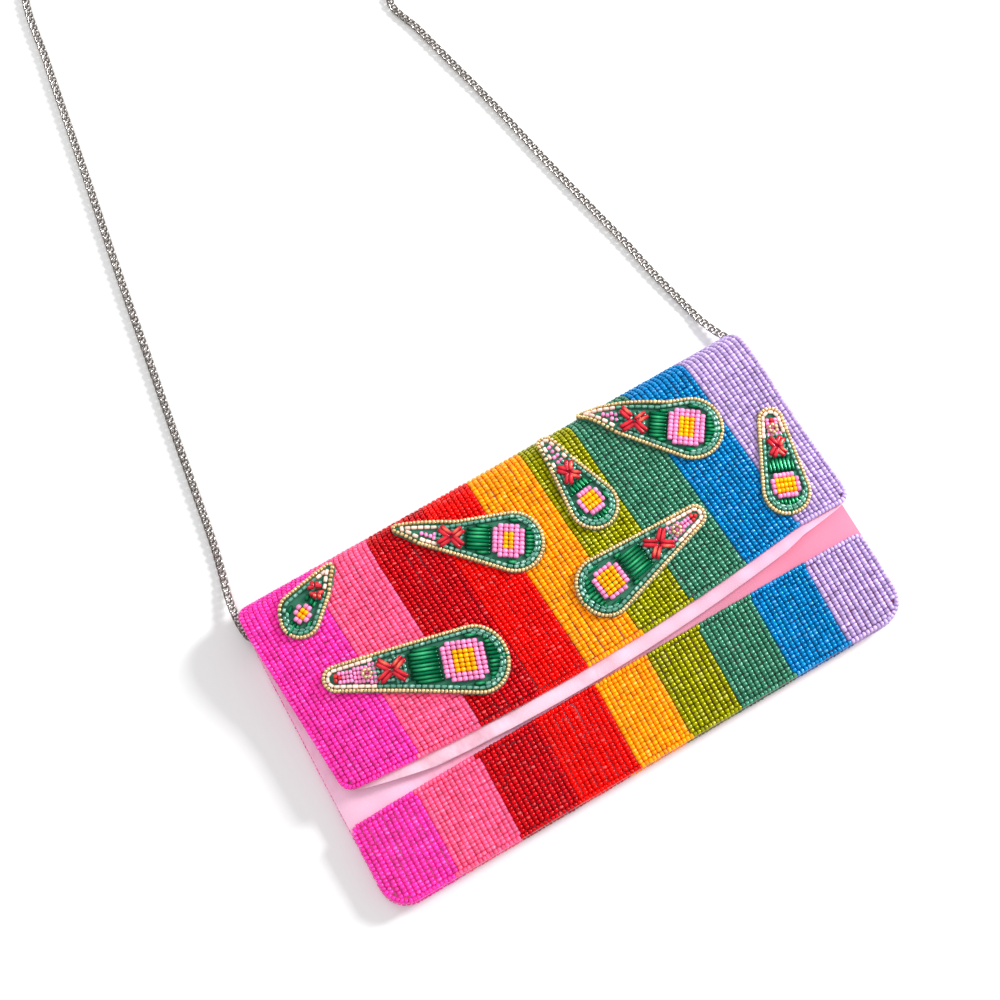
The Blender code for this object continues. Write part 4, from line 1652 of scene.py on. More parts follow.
    def cross_arms(self, cross: float) -> Frames:
        """The cross: two bugles side by side in each of its four arms.

        Args:
            cross: Where its middle is along the axis.

        Returns:
            The bugles' frames.
        """
        lean = math.radians(37)
        arms = np.repeat([lean, math.pi - lean, math.pi + lean, -lean], 2)
        offset = np.tile((-0.55, 0.55), 4) * self.bugle_width
        reach = self.cross * 0.54
        frames = self.lay(cross + reach * np.cos(arms) - offset * np.sin(arms),
                          reach * np.sin(arms) + offset * np.cos(arms), arms,
                          0.0010, 16, self.cross * 0.96 / self.bugle_length, shine=0.4)
        frames.scale[:, :2] *= 1.15
        return frames

    def square_beads(self, square: float) -> dict[str, Frames]:
        """The pink square without its four corners, and its yellow middle.

        Args:
            square: Where its middle is along the axis.

        Returns:
            The frames by kind of bead.
        """
        across, along = self.square
        b, a = (axis.ravel() for axis in np.meshgrid(np.arange(across) - (across - 1) / 2,
                                                     np.arange(along) - (along - 1) / 2))
        core = (np.abs(b) < self.core[0] / 2) & (np.abs(a) < self.core[1] / 2)
        keep = (np.abs(b) <= across / 2 - 0.6) | (np.abs(a) <= along / 2 - 0.6)
        a, b, core = (square + a * self.seed_pitch)[keep], (b * self.seed_width)[keep], core[keep]
        return {"blossom": self.lay(a[~core], b[~core], math.pi / 2, 0.0004, 19),
                "sun": self.lay(a[core], b[core], math.pi / 2, 0.0005, 20)}

    def build(self, seed_bead: Template, round_bead: Template, bugle: Template,
              finishes: dict[str, bpy.types.Material]) -> list[bpy.types.Object]:
        """Sew every row of the teardrop.

        Args:
            seed_bead: The small bead of the outline and the tip.
            round_bead: The bead of the square.
            bugle: The long bead.
            finishes: Glasses and felt by name.

        Returns:
            The pieces, the pad first.
        """
        tip_end, cross, bugle_start, square = self.zones()
        draw = np.random.default_rng(len(self.name))
        a, b = self.fill(0.0020, tip_end - 0.0004, bugle_start, self.rim - 0.0004)
        leaf = self.lay(a, b, draw.uniform(0, math.pi, len(a)), -0.0001, 15, 1.1, 0.2, 0.3)
        a, b, lengths = self.bugle_rows()
        emerald = self.lay(a, b, 0.0, 0.0, 18, lengths / self.bugle_length, tilt=0.015, shine=0.7)
        rows = {**self.edging(tip_end), **self.tip_fill(tip_end), "leaf": leaf,
                "coral": self.cross_arms(cross), "emerald": emerald, **self.square_beads(square)}
        shapes = dict.fromkeys(("gold", "rose", "berry", "petal"), seed_bead)
        shapes |= dict.fromkeys(("blossom", "sun"), round_bead)
        made = [self.pad(finishes["felt"])]
        for kind, frames in rows.items():
            if len(frames.centre):
                data = shapes.get(kind, bugle).string(f"motif_{self.name}_{kind}", frames)
                made.append(new_object(data.name, data, finishes[kind]))
        return made


def sweep(name: str, points: np.ndarray, radius: float | Sequence[float], cyclic: bool = False
          ) -> bmesh.types.BMesh:
    """A round wire along points.

    Args:
        name: Of the curve it is drawn with.
        points: Rows of places.
        radius: Of the wire, or one for each point.
        cyclic: Join the last point to the first.

    Returns:
        The wire's closed mesh.
    """
    curve = bpy.data.curves.new(name, "CURVE")
    curve.dimensions = "3D"
    widths = np.broadcast_to(np.asarray(radius, float), len(points))
    curve.bevel_depth = float(widths.max())
    curve.bevel_resolution = 3
    curve.use_fill_caps = True
    spline = curve.splines.new("POLY")
    spline.points.add(len(points) - 1)
    for point, place, width in zip(spline.points, points, widths):
        point.co = (*place, 1.0)
        point.radius = width / widths.max()
    spline.use_cyclic_u = cyclic
    data = baked(new_object(name, curve))
    mesh = bmesh.new()
    mesh.from_mesh(data)
    bpy.data.meshes.remove(data)
    return outward(weld(mesh))


def turned(profile: Sequence[tuple[float, float]], steps: int = 32) -> bmesh.types.BMesh:
    """A turned solid about Z from a profile of radii and heights, both ends on the axis or joined.

    Args:
        profile: Radius and height of each ring.
        steps: Faces round it.

    Returns:
        The solid's mesh.
    """
    return outward(revolve(profile, steps, profile[0][0] > 0))


def settle(name: str, parts: Sequence[bmesh.types.BMesh], place: Matrix, finish: bpy.types.Material
           ) -> bpy.types.Object:
    """Join meshes into one smooth piece in place.

    Args:
        name: The piece's name.
        parts: Its meshes, which are freed.
        place: Where they go.
        finish: The material.

    Returns:
        The piece.
    """
    whole = merged(parts)
    bmesh.ops.transform(whole, verts=whole.verts[:], matrix=place)
    data = keep_mesh(name, whole)
    data.set_sharp_from_angle(angle=SHARP_METAL)
    return new_object(name, data, finish)


@dataclass
class MagneticSnap:
    """The magnetic snap: a socket on the front, a stud under the flap, a washer behind each."""

    pattern: Pattern
    radius: float = 0.008

    def lay(self, node: str, turn_over: bool = False) -> Matrix:
        """Where a disc lies, tilted as the cloth is.

        Args:
            node: The node it replaces.
            turn_over: Lay it face down.

        Returns:
            The disc's place.
        """
        low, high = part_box(node)
        centre = (low + high) / 2
        step = 0.004
        rows = self.pattern.front(np.zeros(2), centre.y + np.array((-step, step)), 0.0)
        if "stud" in node:
            rows[:, 2] = self.pattern.flap_underside(np.zeros(2), rows[:, 1])
        tilt = math.atan2(rows[1, 2] - rows[0, 2], 2 * step)
        turn = Matrix.Rotation(tilt + (math.pi if turn_over else 0.0), 4, "X")
        return Matrix.Translation(centre) @ turn

    def build(self, metal: bpy.types.Material) -> dict[str, bpy.types.Object]:
        """Turn the four discs.

        Args:
            metal: Their plating.

        Returns:
            The pieces by the node each replaces.
        """
        r = self.radius
        socket = turned(((0.0031, -0.0005), (r, -0.0005), (r, 0.0), (r - 0.0004, 0.0004),
                         (0.0052, 0.0005), (0.0046, 0.0001), (0.0038, 0.0001), (0.0036, 0.0005),
                         (0.0033, 0.0005), (0.0031, 0.0002)), 48)
        stud = turned(((0.0, 0.0007), (0.0022, 0.0007), (0.0026, 0.0004), (0.0026, -0.0002),
                       (r - 0.0006, -0.0002), (r, -0.0004), (r, -0.0007), (0.0, -0.0007)), 48)
        made = {"snap_socket": settle("snap_socket_ring", [socket], self.lay("snap_socket"), metal),
                "snap_stud": settle("snap_stud_plate", [stud], self.lay("snap_stud", True), metal)}
        for node in ("snap_socket_washer", "snap_stud_washer"):
            washer = turned(((0.0, 0.00015), (0.0063, 0.00015), (0.0065, 0.0), (0.0063, -0.00015),
                             (0.0, -0.00015)))
            made[node] = settle(node.replace("washer", "backing"), [washer], self.lay(node), metal)
        return made


def arc(radius: float, y: float, start: float, end: float, count: int, upright: bool = False
        ) -> np.ndarray:
    """Points on an arc whose centre lies on the Y axis.

    Args:
        radius: Of the arc.
        y: Where its centre lies.
        start: First angle, in degrees from X, or from Y where it is upright.
        end: Last angle.
        count: How many points.
        upright: Stand it in Y and Z instead of X and Y.

    Returns:
        Rows of places.
    """
    turn = np.radians(np.linspace(start, end, count))
    first, second, none = radius * np.cos(turn), radius * np.sin(turn), np.zeros(count)
    return np.stack([none, y + first, second] if upright else [first, y + second, none], -1)


@dataclass
class StrapFitting:
    """Ribbon tab, ring, trigger clasp and gate in one corner of the mouth.

    Fields:
        label: Left or right.
        place: Where the ring's bar lies; its local Y runs from the tab to the corner.
        ring_wire: Radius of the ring's wire, and of the hook's and the eye's.
        ring_half: Half the ring's width.
        ring_length: From its bar to the top of its bow.
        hook_radius: Of the hook's bend.
        hook_run: Length of its straight part.
        barrel_radius: Of the clasp's barrel.
        barrel_length: Of the same.
        eye_radius: Of the tail eye's ring.
        gate_length: Of the sprung lever.
        tab_width: Of the ribbon.
        play: Between the ring's bow and the hook.
    """

    label: str
    place: Matrix
    ring_wire: float = 0.00055
    ring_half: float = 0.0038
    ring_length: float = 0.0080
    hook_radius: float = 0.0017
    hook_run: float = 0.0018
    barrel_radius: float = 0.00125
    barrel_length: float = 0.0045
    eye_radius: float = 0.0019
    gate_length: float = 0.0022
    tab_width: float = 0.0050
    play: float = 0.00025

    @property
    def hook_start(self) -> float:
        """Where the hook's claw is centred, from the ring's bar."""
        return self.ring_length + self.play

    @property
    def hook_end(self) -> float:
        """Where the hook meets the barrel's stem."""
        return self.hook_start + self.hook_run + self.hook_radius

    def ring(self) -> bmesh.types.BMesh:
        """The D-shaped ring.

        Returns:
            Its mesh.
        """
        half = self.ring_half
        bow = arc(half, self.ring_length - half, 0, 180, 24)
        foot = [(-half, 0.0012), (-half + 0.0003, 0.0004), (-half + 0.0010, 0.0), (0.0, 0.0),
                (half - 0.0010, 0.0), (half - 0.0003, 0.0004), (half, 0.0012)]
        return sweep("ring", np.concatenate([bow, [(x, y, 0.0) for x, y in foot]]), self.ring_wire, True)

    def clasp(self) -> list[bmesh.types.BMesh]:
        """Hook, barrel with collars, and tail eye.

        Returns:
            Their meshes.
        """
        claw = arc(self.hook_radius, self.hook_start, 75, 270, 20, upright=True)
        stem = arc(self.hook_radius, self.hook_start + self.hook_run, 270, 360, 8, upright=True)
        route = np.concatenate([claw, stem, [(0.0, self.hook_end + 0.0015, 0.0)]])
        widths = np.full(len(route), self.ring_wire)
        widths[:4] *= (0.55, 0.75, 0.9, 1.0)
        r, half = self.barrel_radius, self.barrel_length / 2
        barrel = turned(((0.0, -half), (r * 0.7, -half), (r, -half + 0.0004), (r, -half + 0.0009),
                         (r * 0.8, -half + 0.0011), (r * 0.8, -half + 0.0013), (r, -half + 0.0015),
                         (r, half - 0.0009), (r * 0.82, half - 0.0007), (r * 0.82, half - 0.0005),
                         (r, half - 0.0003), (r * 0.8, half), (0.0, half)))
        middle = self.hook_end + half
        bmesh.ops.transform(barrel, verts=barrel.verts[:],
                            matrix=Matrix.Translation((0, middle, 0)) @ Matrix.Rotation(-math.pi / 2, 4, "X"))
        eye = arc(self.eye_radius, middle + half + self.eye_radius, 0, 360, 29)[:-1]
        return [sweep("hook", route, widths), barrel, sweep("eye", eye, self.ring_wire, True)]

    def gate(self) -> bmesh.types.BMesh:
        """The sprung lever with its thumb knob.

        Returns:
            Its mesh.
        """
        share = np.linspace(0, 1, 10)
        line = np.stack([0 * share, self.hook_end - self.gate_length * share, 0.0016 + 0 * share], -1)
        lever = sweep("lever", line, 0.0004 * (1.0 - 0.25 * share))
        knob = bmesh.new()
        bmesh.ops.create_uvsphere(knob, u_segments=16, v_segments=10, radius=0.00048)
        bmesh.ops.translate(knob, verts=knob.verts[:], vec=(0, self.hook_end - 0.0005, 0.0019))
        return merged([lever, knob])

    def tab(self) -> bmesh.types.BMesh:
        """The ribbon folded round the ring's bar.

        Returns:
            Its mesh.
        """
        inner = self.ring_wire + 0.0003
        under = [(-0.0075, -inner), (-0.0040, -inner - 0.0001), (-0.0012, -inner)]
        over = [(-0.0012, inner), (-0.0040, inner - 0.0003), (-0.0075, inner - 0.0005)]
        line = [*under, *arc(inner, 0.0, -90, 90, 12, upright=True)[:, 1:], *over]
        mesh = bmesh.new()
        _, edges = polyline(mesh, [(-self.tab_width / 2, y, z) for y, z in line])
        widen(mesh, edges, 8, (self.tab_width / 8, 0, 0))
        return thicken(mesh, -0.00035)

    def build(self, metal: bpy.types.Material, ribbon: bpy.types.Material) -> dict[str, bpy.types.Object]:
        """Make the four pieces.

        Args:
            metal: Plating of the ring, clasp and gate.
            ribbon: The tab's cloth.

        Returns:
            The pieces by the node each replaces.
        """
        pieces = (("ring_tab", "tab", [self.tab()], ribbon), ("ring", "dring", [self.ring()], metal),
                  ("clasp", "trigger", self.clasp(), metal), ("gate", "lever", [self.gate()], metal))
        return {f"{node}_{self.label}": settle(f"{name}_{self.label}", parts, self.place, finish)
                for node, name, parts, finish in pieces}


def smooth_route(points: Sequence[Sequence[float]], step: float) -> np.ndarray:
    """Even points along a smooth curve through a route.

    Args:
        points: The route.
        step: Distance between the points.

    Returns:
        Rows of places.
    """
    rows = np.array(points, float)
    ends = np.concatenate([[2 * rows[0] - rows[1]], rows, [2 * rows[-1] - rows[-2]]])
    share = np.linspace(0, 1, 24, endpoint=False)[:, None]
    fine = [0.5 * (2 * b + (c - a) * share + (2 * a - 5 * b + 4 * c - d) * share ** 2
                   + (3 * b - a - 3 * c + d) * share ** 3)
            for a, b, c, d in zip(ends, ends[1:], ends[2:], ends[3:])]
    fine = np.concatenate([*fine, rows[-1:]])
    run = run_along(fine)
    marks = np.linspace(0, run[-1], max(2, round(run[-1] / step)) + 1)
    return np.stack([np.interp(marks, run, fine[:, k]) for k in range(3)], -1)


STRAP_LEFT = (
    (-0.1083, 0.0319, 0.0063), (-0.1107, 0.0405, 0.0063), (-0.1150, 0.0490, 0.0063),
    (-0.1210, 0.0553, 0.0063), (-0.1264, 0.0606, 0.0062), (-0.1278, 0.0670, 0.0056),
    (-0.1276, 0.0740, 0.0046), (-0.1264, 0.0830, 0.0030), (-0.1240, 0.0930, 0.0020),
    (-0.1205, 0.1090, 0.0019), (-0.1158, 0.1370, 0.0019), (-0.1108, 0.1670, 0.0019),
    (-0.1056, 0.1970, 0.0019), (-0.1006, 0.2270, 0.0019), (-0.0951, 0.2580, 0.0019),
    (-0.0894, 0.2890, 0.0019),
    (-0.0840, 0.3200, 0.0019), (-0.0783, 0.3520, 0.0019), (-0.0718, 0.3860, 0.0019),
    (-0.0560, 0.4010, 0.0019), (-0.0300, 0.4010, 0.0019), (0.0000, 0.3905, 0.0019),
    (0.0300, 0.3780, 0.0019), (0.0560, 0.3680, 0.0019), (0.0732, 0.3613, 0.0019),
)
STRAP_RIGHT = (
    (0.1083, 0.0319, 0.0063), (0.1107, 0.0405, 0.0063), (0.1150, 0.0490, 0.0063),
    (0.1208, 0.0553, 0.0063), (0.1258, 0.0606, 0.0062), (0.1264, 0.0668, 0.0056),
    (0.1247, 0.0730, 0.0047), (0.1222, 0.0785, 0.0037), (0.1199, 0.0850, 0.0027),
    (0.1180, 0.0930, 0.0020), (0.1158, 0.1030, 0.0019), (0.1124, 0.1190, 0.0019),
    (0.1090, 0.1385, 0.0019), (0.1050, 0.1575, 0.0019),
    (0.1009, 0.1775, 0.0019), (0.0971, 0.1970, 0.0019), (0.0936, 0.2165, 0.0019),
    (0.0897, 0.2360, 0.0019), (0.0850, 0.2570, 0.0019), (0.0806, 0.2770, 0.0019),
    (0.0762, 0.2970, 0.0019), (0.0752, 0.3016, 0.0019),
)


@dataclass
class ChainStrap:
    """The curb chain: from one clasp over the table to a flat coil, and back to the other.

    Fields:
        left: Route of the left run, from its clasp to the coil.
        right: Route of the right run, from its clasp to the coil.
        coil_centre: Middle of the coil.
        pitch: Distance between links.
        lying: Height of the links' middles on the table.
        lifted: Route points above this height are off the table.
        coil_outer: Radius of the coil's outer turn.
        coil_step: Distance between its turns.
        coil_start: Angle at which it starts, in degrees.
        coil_turns: How many turns it has.
        path: The places of the links, once they are laid.
    """

    left: Sequence[tuple[float, float, float]]
    right: Sequence[tuple[float, float, float]]
    coil_centre: tuple[float, float]
    pitch: float = 0.0036
    lying: float = 0.00165
    lifted: float = 0.0022
    coil_outer: float = 0.0294
    coil_step: float = 0.0042
    coil_start: float = 104.0
    coil_turns: float = 3.42
    path: np.ndarray = field(default_factory=lambda: np.zeros((0, 3)))

    def coil(self) -> list[tuple[float, float, float]]:
        """The clockwise spiral, and the inner end's way out over its turns.

        Returns:
            The route through it.
        """
        rows = []
        for turned_by in np.arange(0.0, self.coil_turns, 1 / 20):
            angle = math.radians(self.coil_start) - math.tau * turned_by
            radius = self.coil_outer - self.coil_step * turned_by
            rows.append((self.coil_centre[0] + radius * math.cos(angle),
                         self.coil_centre[1] + radius * math.sin(angle), self.lying))
        last = np.array(rows[-1])
        way = unit(last - np.array(rows[-2]))
        over = self.lying + 0.0034
        for reach, height in ((0.0035, self.lying + 0.0026), (0.0070, over), (0.0125, over), (0.0175, over)):
            point = last + way * reach
            rows.append((point[0], point[1] - 0.12 * reach, height))
        return rows

    def build(self, metal: bpy.types.Material) -> bpy.types.Object:
        """Lay every link.

        Args:
            metal: The chain's plating.

        Returns:
            The chain.
        """
        out, back = ([(x, y, z if z > self.lifted else self.lying) for x, y, z in route]
                     for route in (self.left, reversed(self.right)))
        self.path = smooth_route([*out[:-1], *self.coil(), *back[1:]], self.pitch)
        tangent = unit(np.gradient(self.path, axis=0))
        frames = Frames.make(self.path, tangent, np.tile((0.0, 0.0, 1.0), (len(self.path), 1)), 5,
                             tilt=0.02, swell=0.0)
        link = Template.curb_link("curb_link", 0.0030, 0.00145, 0.00052, 0.78)
        data = link.string("chain_links", frames.sparkle(0.0))
        return new_object("chain_links", data, metal)

    @property
    def length(self) -> float:
        """The chain's real length."""
        return float(steps_of(self.path).sum())


@dataclass
class Studio:
    """A white table under soft light, and the camera.

    Fields:
        target: Where the camera and the lights aim.
        turn: How far the camera is turned about Z, in degrees.
        tilt: How far it leans from straight down, in degrees.
        distance: From the target.
        lens: Focal length in millimetres.
        lamps: Name, place, size and power of each light.
        glow: Brightness of the surroundings.
        glow_in_gloss: The same, as shiny things show it.
    """

    target: Vector = field(default_factory=lambda: Vector((-0.00135, 0.0610, 0.0)))
    turn: float = 30.27
    tilt: float = 14.0
    distance: float = 0.889
    lens: float = 72.0
    lamps: Sequence[tuple[str, tuple[float, float, float], float, float]] = (
        ("key", (1.06, 0.05, 0.62), 0.26, 17.0), ("fill", (-0.2, 0.9, 1.2), 0.6, 3.0))
    glow: float = 0.72
    glow_in_gloss: float = 0.16

    def camera(self) -> None:
        """Aim the camera down at the purse."""
        turn, tilt = math.radians(self.turn), math.radians(self.tilt)
        right = Vector((math.cos(turn), -math.sin(turn), 0.0))
        ahead = Vector((math.sin(turn), math.cos(turn), 0.0))
        up = ahead * math.cos(tilt) + Vector((0, 0, 1)) * math.sin(tilt)
        back = Vector((0, 0, 1)) * math.cos(tilt) - ahead * math.sin(tilt)
        data = bpy.data.cameras.new("camera")
        data.lens = self.lens
        data.sensor_width = 36.0
        data.clip_start = 0.05
        made = new_object("camera", data)
        made.matrix_world = Matrix.Translation(self.target + back * self.distance) @ Matrix(
            (right, up, back)).transposed().to_4x4()
        bpy.context.scene.camera = made

    def light(self, name: str, place: Sequence[float], size: float, power: float) -> None:
        """A square soft light aimed at the purse.

        Args:
            name: The light's name.
            place: Where it is.
            size: Its side.
            power: In watts.
        """
        data = bpy.data.lights.new(name, "AREA")
        data.size = size
        data.energy = power
        made = new_object(name, data)
        made.location = place
        made.rotation_mode = "QUATERNION"
        made.rotation_quaternion = (self.target - Vector(place)).to_track_quat("-Z", "Y")

    def build(self) -> None:
        """Set the table, the lights and the surroundings."""
        mesh = bmesh.new()
        bmesh.ops.create_grid(mesh, x_segments=1, y_segments=1, size=3.0)
        top = Finish("white_table").set(Base_Color=(0.94, 0.94, 0.94, 1), Roughness=0.9,
                                        Specular_IOR_Level=0.1)
        new_object("table", keep_mesh("table", mesh), top.material)
        world = bpy.data.worlds.new("studio")
        world.use_nodes = True
        sky = world.node_tree.nodes["Background"]
        sky.inputs[0].default_value = (1.0, 1.0, 1.0, 1.0)
        rays = world.node_tree.nodes.new("ShaderNodeLightPath")
        dim = world.node_tree.nodes.new("ShaderNodeMapRange")
        dim.inputs["To Min"].default_value = self.glow
        dim.inputs["To Max"].default_value = self.glow_in_gloss
        world.node_tree.links.new(rays.outputs["Is Glossy Ray"], dim.inputs["Value"])
        world.node_tree.links.new(dim.outputs["Result"], sky.inputs[1])
        bpy.context.scene.world = world
        for lamp in self.lamps:
            self.light(*lamp)
        bpy.context.scene.view_settings.view_transform = "Standard"
        self.camera()


@dataclass
class Purse:
    """The whole purse, sub-assembly by sub-assembly.

    Fields:
        pattern: Its cutting pattern.
        glass: A bead glass for each stripe.
    """

    pattern: Pattern
    glass: dict[Stripe, bpy.types.Material] = field(default_factory=dict)

    def __post_init__(self) -> None:
        """Cut the panels and mix the finishes."""
        cut = self.pattern
        self.fold_start = (0.0, cut.half_height, 0.0022)
        self.fold_end = (0.0, cut.half_height, 0.0130)
        self.flap_panel = Panel(cut.flap, cut.flap_edges, cut.flap_hem_y, cut.mouth_y,
                                cut.flap_corner_radius)
        self.back_panel = Panel(cut.back, cut.body_edges, -cut.half_height, cut.back_fold_y,
                                cut.corner_radius, outward=-1)
        self.front_panel = Panel(cut.front, cut.body_edges, -cut.half_height, cut.mouth_y, cut.corner_radius)
        self.band_panel = Panel(cut.front, cut.body_edges, -cut.half_height, cut.band_top_y,
                                cut.corner_radius, 0.004)
        self.fold_panel = Panel(cut.fold, cut.fold_edges, 0.0, 2.0 * cut.fold_arc, outward=-1)
        for stripe in STRIPES:
            # Painted glint colour: brighter than the lit colour, for the tops of sparkling beads.
            glint = tuple(min(1.0, 0.16 + 1.15 * value) for value in stripe.lit)
            self.glass[stripe] = BeadGlass(f"glass_{stripe.label}", stripe.deep, stripe.lit, glint,
                                           stripe.lining).material()

    def attach(self, made: bpy.types.Object, slot: str, body: str, node: str | None = None) -> None:
        """Tie a piece to the frame.

        Args:
            made: The piece.
            slot: The name of its material slot, which is not used.
            body: The body it rides, or fold for a piece between the purse and the flap, which is only baked
                in place.
            node: The node it replaces, or none.
        """
        if node:
            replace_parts(made, node)
        if body == "fold":
            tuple(self.fold_start)
            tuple(self.fold_end)
            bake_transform(made)
        else:
            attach(made, body)

    def bead_fields(self) -> list[tuple[BeadField, str | None]]:
        """The four beaded fields, and the frame's stripes that each replaces.

        Returns:
            Each field with its stripes' name, or none.
        """
        flap_counts = (14, 12, 12, 10, 11, 11, 12, 12, 11)
        band_counts = (12, 13, 12, 12, 11, 10, 11, 12, 11)
        return [
            (BeadField("flap", self.flap_panel, 0.0039, FLAP_SHARES, flap_counts, high_open=True, seed=3),
             "flap_beads_"),
            (BeadField("fold", self.fold_panel, 0.0039, FLAP_SHARES, flap_counts, True, True, 0.9, 4), None),
            (BeadField("back", self.back_panel, 0.00095, FLAP_SHARES, flap_counts, high_open=True,
                       squash=0.82, seed=5), "back_beads_"),
            (BeadField("band", self.band_panel, 0.00755, BAND_SHARES, band_counts, seed=6), "band_beads_"),
        ]

    def beadwork(self) -> None:
        """String the stripes of every field."""
        bead = Template.bead("bead", 0.00123, 0.00174, bore=0.72, belly=0.96)
        for beads, node in self.bead_fields():
            body = beads.label if beads.label in ("flap", "fold") else "purse"
            for stripe, made in beads.build(bead, self.glass).items():
                self.attach(made, f"beads_{stripe.label}", body, node and node + stripe.label)
            LOG.info("beads on the %s: nine stripes", beads.label)

    def cloths(self) -> None:
        """Cut and lay every sheet of cloth."""
        cut = self.pattern
        base = Woven("base_cloth", (0.52, 0.30, 0.38), (0.68, 0.42, 0.50)).material()
        lining = Woven("pocket_lining", (0.86, 0.42, 0.56), (0.93, 0.55, 0.67)).material()
        stiff = Woven("interlining", (0.80, 0.78, 0.73), (0.88, 0.86, 0.82), 900.0).material()
        # The front velvet's far colour is painted shade over its right side.
        pile = Velvet("velvet", (0.90, 0.36, 0.54), (0.99, 0.60, 0.78), (0.72, 0.23, 0.34)).material()
        satin = Velvet("lip_velvet", (0.74, 0.38, 0.48), (0.95, 0.62, 0.74), (0.86, 0.44, 0.58)).material()
        hem, lip = cut.flap_hem_y, 0.0055

        def lip_puff(x: np.ndarray, station: np.ndarray) -> np.ndarray:
            """Thickness of the lining's roll out under the hem, fullest in the middle.

            Args:
                x: Rows of places across.
                station: Rows of stations.

            Returns:
                The thicknesses.
            """
            share = np.clip((station - (hem - lip)) / (lip + 0.0035), 0.0, 1.0)
            roll = np.sqrt(np.clip(1.0 - (2.0 * share - 1.0) ** 2, 0.0, 1.0))
            full = 0.5 + 0.5 * np.cos(np.clip(x / 0.13, -1, 1) * math.pi * 0.8)
            folds = np.array([noise.noise(Vector((a * 95, b * 40, 3.0))) for a, b in zip(x, station)])
            return roll * (0.0012 + 0.0013 * full) * (1.0 + 0.6 * folds)

        def lip_dip(share: np.ndarray) -> np.ndarray:
            """How far the lip narrows towards both corners."""
            return (lip - 0.0006) * (1.0 - np.clip(np.sin(math.pi * share) * 2.4, 0.0, 1.0) ** 0.7)

        lip_panel = Panel(cut.flap, cut.flap_edges, hem - lip, cut.mouth_y + 0.0012, cut.flap_corner_radius)
        back, front, flap, fold = self.back_panel, self.front_panel, self.flap_panel, self.fold_panel
        inner = 0.0025
        sheets = [
            ("cloth_back", Cloth(back, (0.0019, 0.0023), 0.0006), base, "base_cloth", "purse", "back_panel"),
            ("cloth_fold", Cloth(fold, (0.0021, 0.0026), 0.0006), base, "base_cloth", "fold", None),
            ("cloth_flap", Cloth(flap, (0.0021, 0.0026), 0.0006), base, "base_cloth", "flap", "flap_cloth"),
            ("velvet_front", Cloth(front, (0.0058, 0.0064), wave=0.0005, ripple=(70, 45), cells=(160, 72)),
             pile, "velvet", "purse", "front_panel"),
            ("lining_flap", Cloth(lip_panel, (0.0, 0.0005), 0.0006, lip_puff, lip_dip, 0.0002, (80, 50),
                                  (200, 90)), satin, "velvet", "flap", "flap_lining"),
            ("lining_fold", Cloth(fold, (0.0002, 0.0006)), lining, "pocket_lining", "fold", None),
            ("stiffener_back", Cloth(back, (0.0026, 0.0030), inner), stiff, "interlining", "purse",
             "back_interlining"),
            ("lining_back", Cloth(back, (0.0033, 0.0036), inner), lining, "pocket_lining", "purse",
             "back_lining"),
            ("lining_front", Cloth(front, (0.0039, 0.0042), inner), lining, "pocket_lining", "purse",
             "front_lining"),
            ("stiffener_front", Cloth(front, (0.0051, 0.0055), inner), stiff, "interlining", "purse",
             "front_interlining"),
            ("stiffener_flap", Cloth(flap, (0.0014, 0.0018), inner), stiff, "interlining", "flap",
             "flap_interlining"),
        ]
        for name, cloth, finish, slot, body, node in sheets:
            made = cloth.build(name, finish)
            self.attach(made, slot, body, node)
            cloth.flat_size()
            LOG.info("%s: cut %.0f by %.0f mm", name, *(size / MM for size in cloth.flat_size()))
        seam = SeamAllowance(Panel(cut.front, cut.body_edges, -cut.half_height, cut.mouth_y - 0.006,
                                   cut.corner_radius))
        self.attach(seam.build("velvet_seam", pile), "velvet", "purse")
        LOG.info("velvet_seam: %.0f mm round the sides and hem", seam.length / MM)

    def motifs(self) -> None:
        """Sew the seven raised teardrops."""
        shapes = [
            ("small_left", (-0.0823, 0.0649), (-0.1040, 0.0549), 0.0022, 0.0092, (4, 4), (2, 2), 0.0030),
            ("upper_left", (-0.0490, 0.0652), (-0.0080, 0.0382), 0.0022, 0.0134, (8, 6), (4, 2), 0.0062),
            ("lower_left", (-0.1036, 0.0250), (-0.0477, 0.0046), 0.0060, 0.0140, (9, 8), (5, 4), 0.0070),
            ("small_middle", (0.0265, 0.0650), (0.0302, 0.0351), 0.0042, 0.0112, (6, 5), (4, 3), 0.0052),
            ("lower_right", (0.0652, 0.0094), (0.0152, 0.0044), 0.0052, 0.0124, (7, 6), (5, 4), 0.0066),
            ("upper_right", (0.0470, 0.0700), (0.0852, 0.0424), 0.0022, 0.0142, (9, 7), (6, 3), 0.0064),
            ("small_right", (0.1175, 0.0285), (0.1062, -0.0022), 0.0062, 0.0112, (7, 5), (5, 3), 0.0050),
        ]
        seed_bead = Template.bead("seed", 0.00090, 0.00165, bore=0.5, sides=7, belly=0.88)
        round_bead = Template.bead("round", 0.00121, 0.00180, bore=0.66, belly=0.94)
        bugle = Template.bead("bugle", 0.00082, 0.0020, bore=0.75, sides=8, belly=1.0)
        # Each glass: painted shade colour, painted highlight colour, silver lining, painted glint colour.
        gold = ((0.60, 0.38, 0.14), (0.98, 0.76, 0.42), 0.4, (1.0, 0.95, 0.80))
        rose = ((0.86, 0.20, 0.46), (0.96, 0.36, 0.64), 0.0, (1.0, 0.8, 0.9))
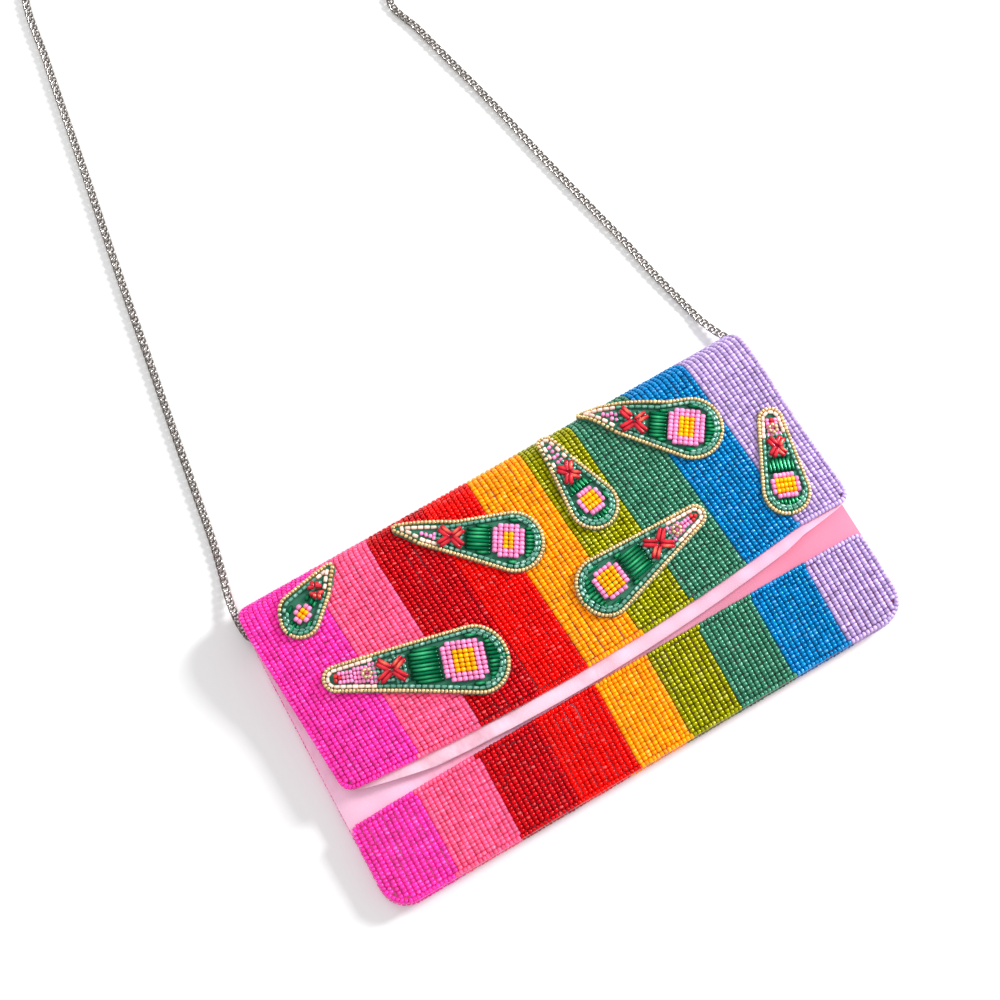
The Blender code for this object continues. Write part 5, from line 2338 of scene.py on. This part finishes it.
        colours = {"gold": gold, "petal": gold, "rose": rose, "blossom": rose,
                   "seafoam": ((0.05, 0.20, 0.14), (0.18, 0.45, 0.34), 0.25, (0.75, 0.95, 0.88)),
                   "peach": ((0.86, 0.55, 0.44), (1.0, 0.82, 0.72), 0.0, (1.0, 0.95, 0.9)),
                   "berry": ((0.45, 0.006, 0.02), (0.80, 0.05, 0.05), 0.0, (1.0, 0.4, 0.3)),
                   "leaf": ((0.03, 0.15, 0.10), (0.15, 0.40, 0.30), 0.25, (0.75, 0.95, 0.88)),
                   "coral": ((0.38, 0.003, 0.02), (0.74, 0.04, 0.06), 0.15, (1.0, 0.30, 0.16)),
                   "emerald": ((0.0, 0.05, 0.018), (0.0, 0.24, 0.09), 0.30, (0.10, 0.72, 0.32)),
                   "sun": ((0.93, 0.32, 0.0), (1.0, 0.54, 0.0), 0.0, (1.0, 0.8, 0.3))}
        finishes = {kind: BeadGlass(f"motif_{kind}", deep, lit, glint, lining, 0.2).material()
                    for kind, (deep, lit, lining, glint) in colours.items()}
        finishes["felt"] = Velvet("motif_felt", (0.02, 0.11, 0.07), (0.04, 0.18, 0.11)).material()
        for shape in shapes:
            motif = Motif(*shape, self.flap_panel)
            for index, made in enumerate(motif.build(seed_bead, round_bead, bugle, finishes)):
                self.attach(made, "applique_beads", "flap", None if index else f"applique_{motif.name}")
            LOG.info("motif %s", motif.name)

    def metalwork(self) -> None:
        """Fit the snap, the strap fittings and the chain."""
        metal, links = Nickel("nickel").material(), Nickel("chain_nickel").material()
        ribbon = Woven("ribbon", (0.85, 0.36, 0.52), (0.94, 0.50, 0.64), 2400.0).material()
        for node, made in MagneticSnap(self.pattern).build(metal).items():
            self.attach(made, "nickel", "flap" if "stud" in node else "purse", node)
        for joint in frame["joints"]:
            if joint["name"].startswith("ring_swing_"):
                label = joint["name"].rsplit("_", 1)[1]
                side = -1 if label == "left" else 1
                place = Matrix.Translation(joint["pos_m"]) @ Matrix.Rotation(math.radians(-15 * side), 4, "Z")
                for node, made in StrapFitting(label, place).build(metal, ribbon).items():
                    self.attach(made, "ribbon" if "tab" in node else "nickel",
                                node if node in frame["bodies"] else "purse", node)
        strap = ChainStrap(STRAP_LEFT, STRAP_RIGHT, (0.0900, 0.3320))
        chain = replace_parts(strap.build(links), "chain_left", "chain_right", "chain_coil")
        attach(chain, "purse")
        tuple(strap.path[0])
        strap.length
        LOG.info("strap: %.3f m of curb chain", strap.length)


def main() -> None:
    """Build the purse and its studio, and log the sizes."""
    logging.basicConfig(level=logging.INFO, format="%(name)s: %(message)s")
    Studio().build()
    purse = Purse(Pattern.from_frame())
    purse.metalwork()
    purse.cloths()
    purse.beadwork()
    purse.motifs()


if __name__ == "__main__":
    main()
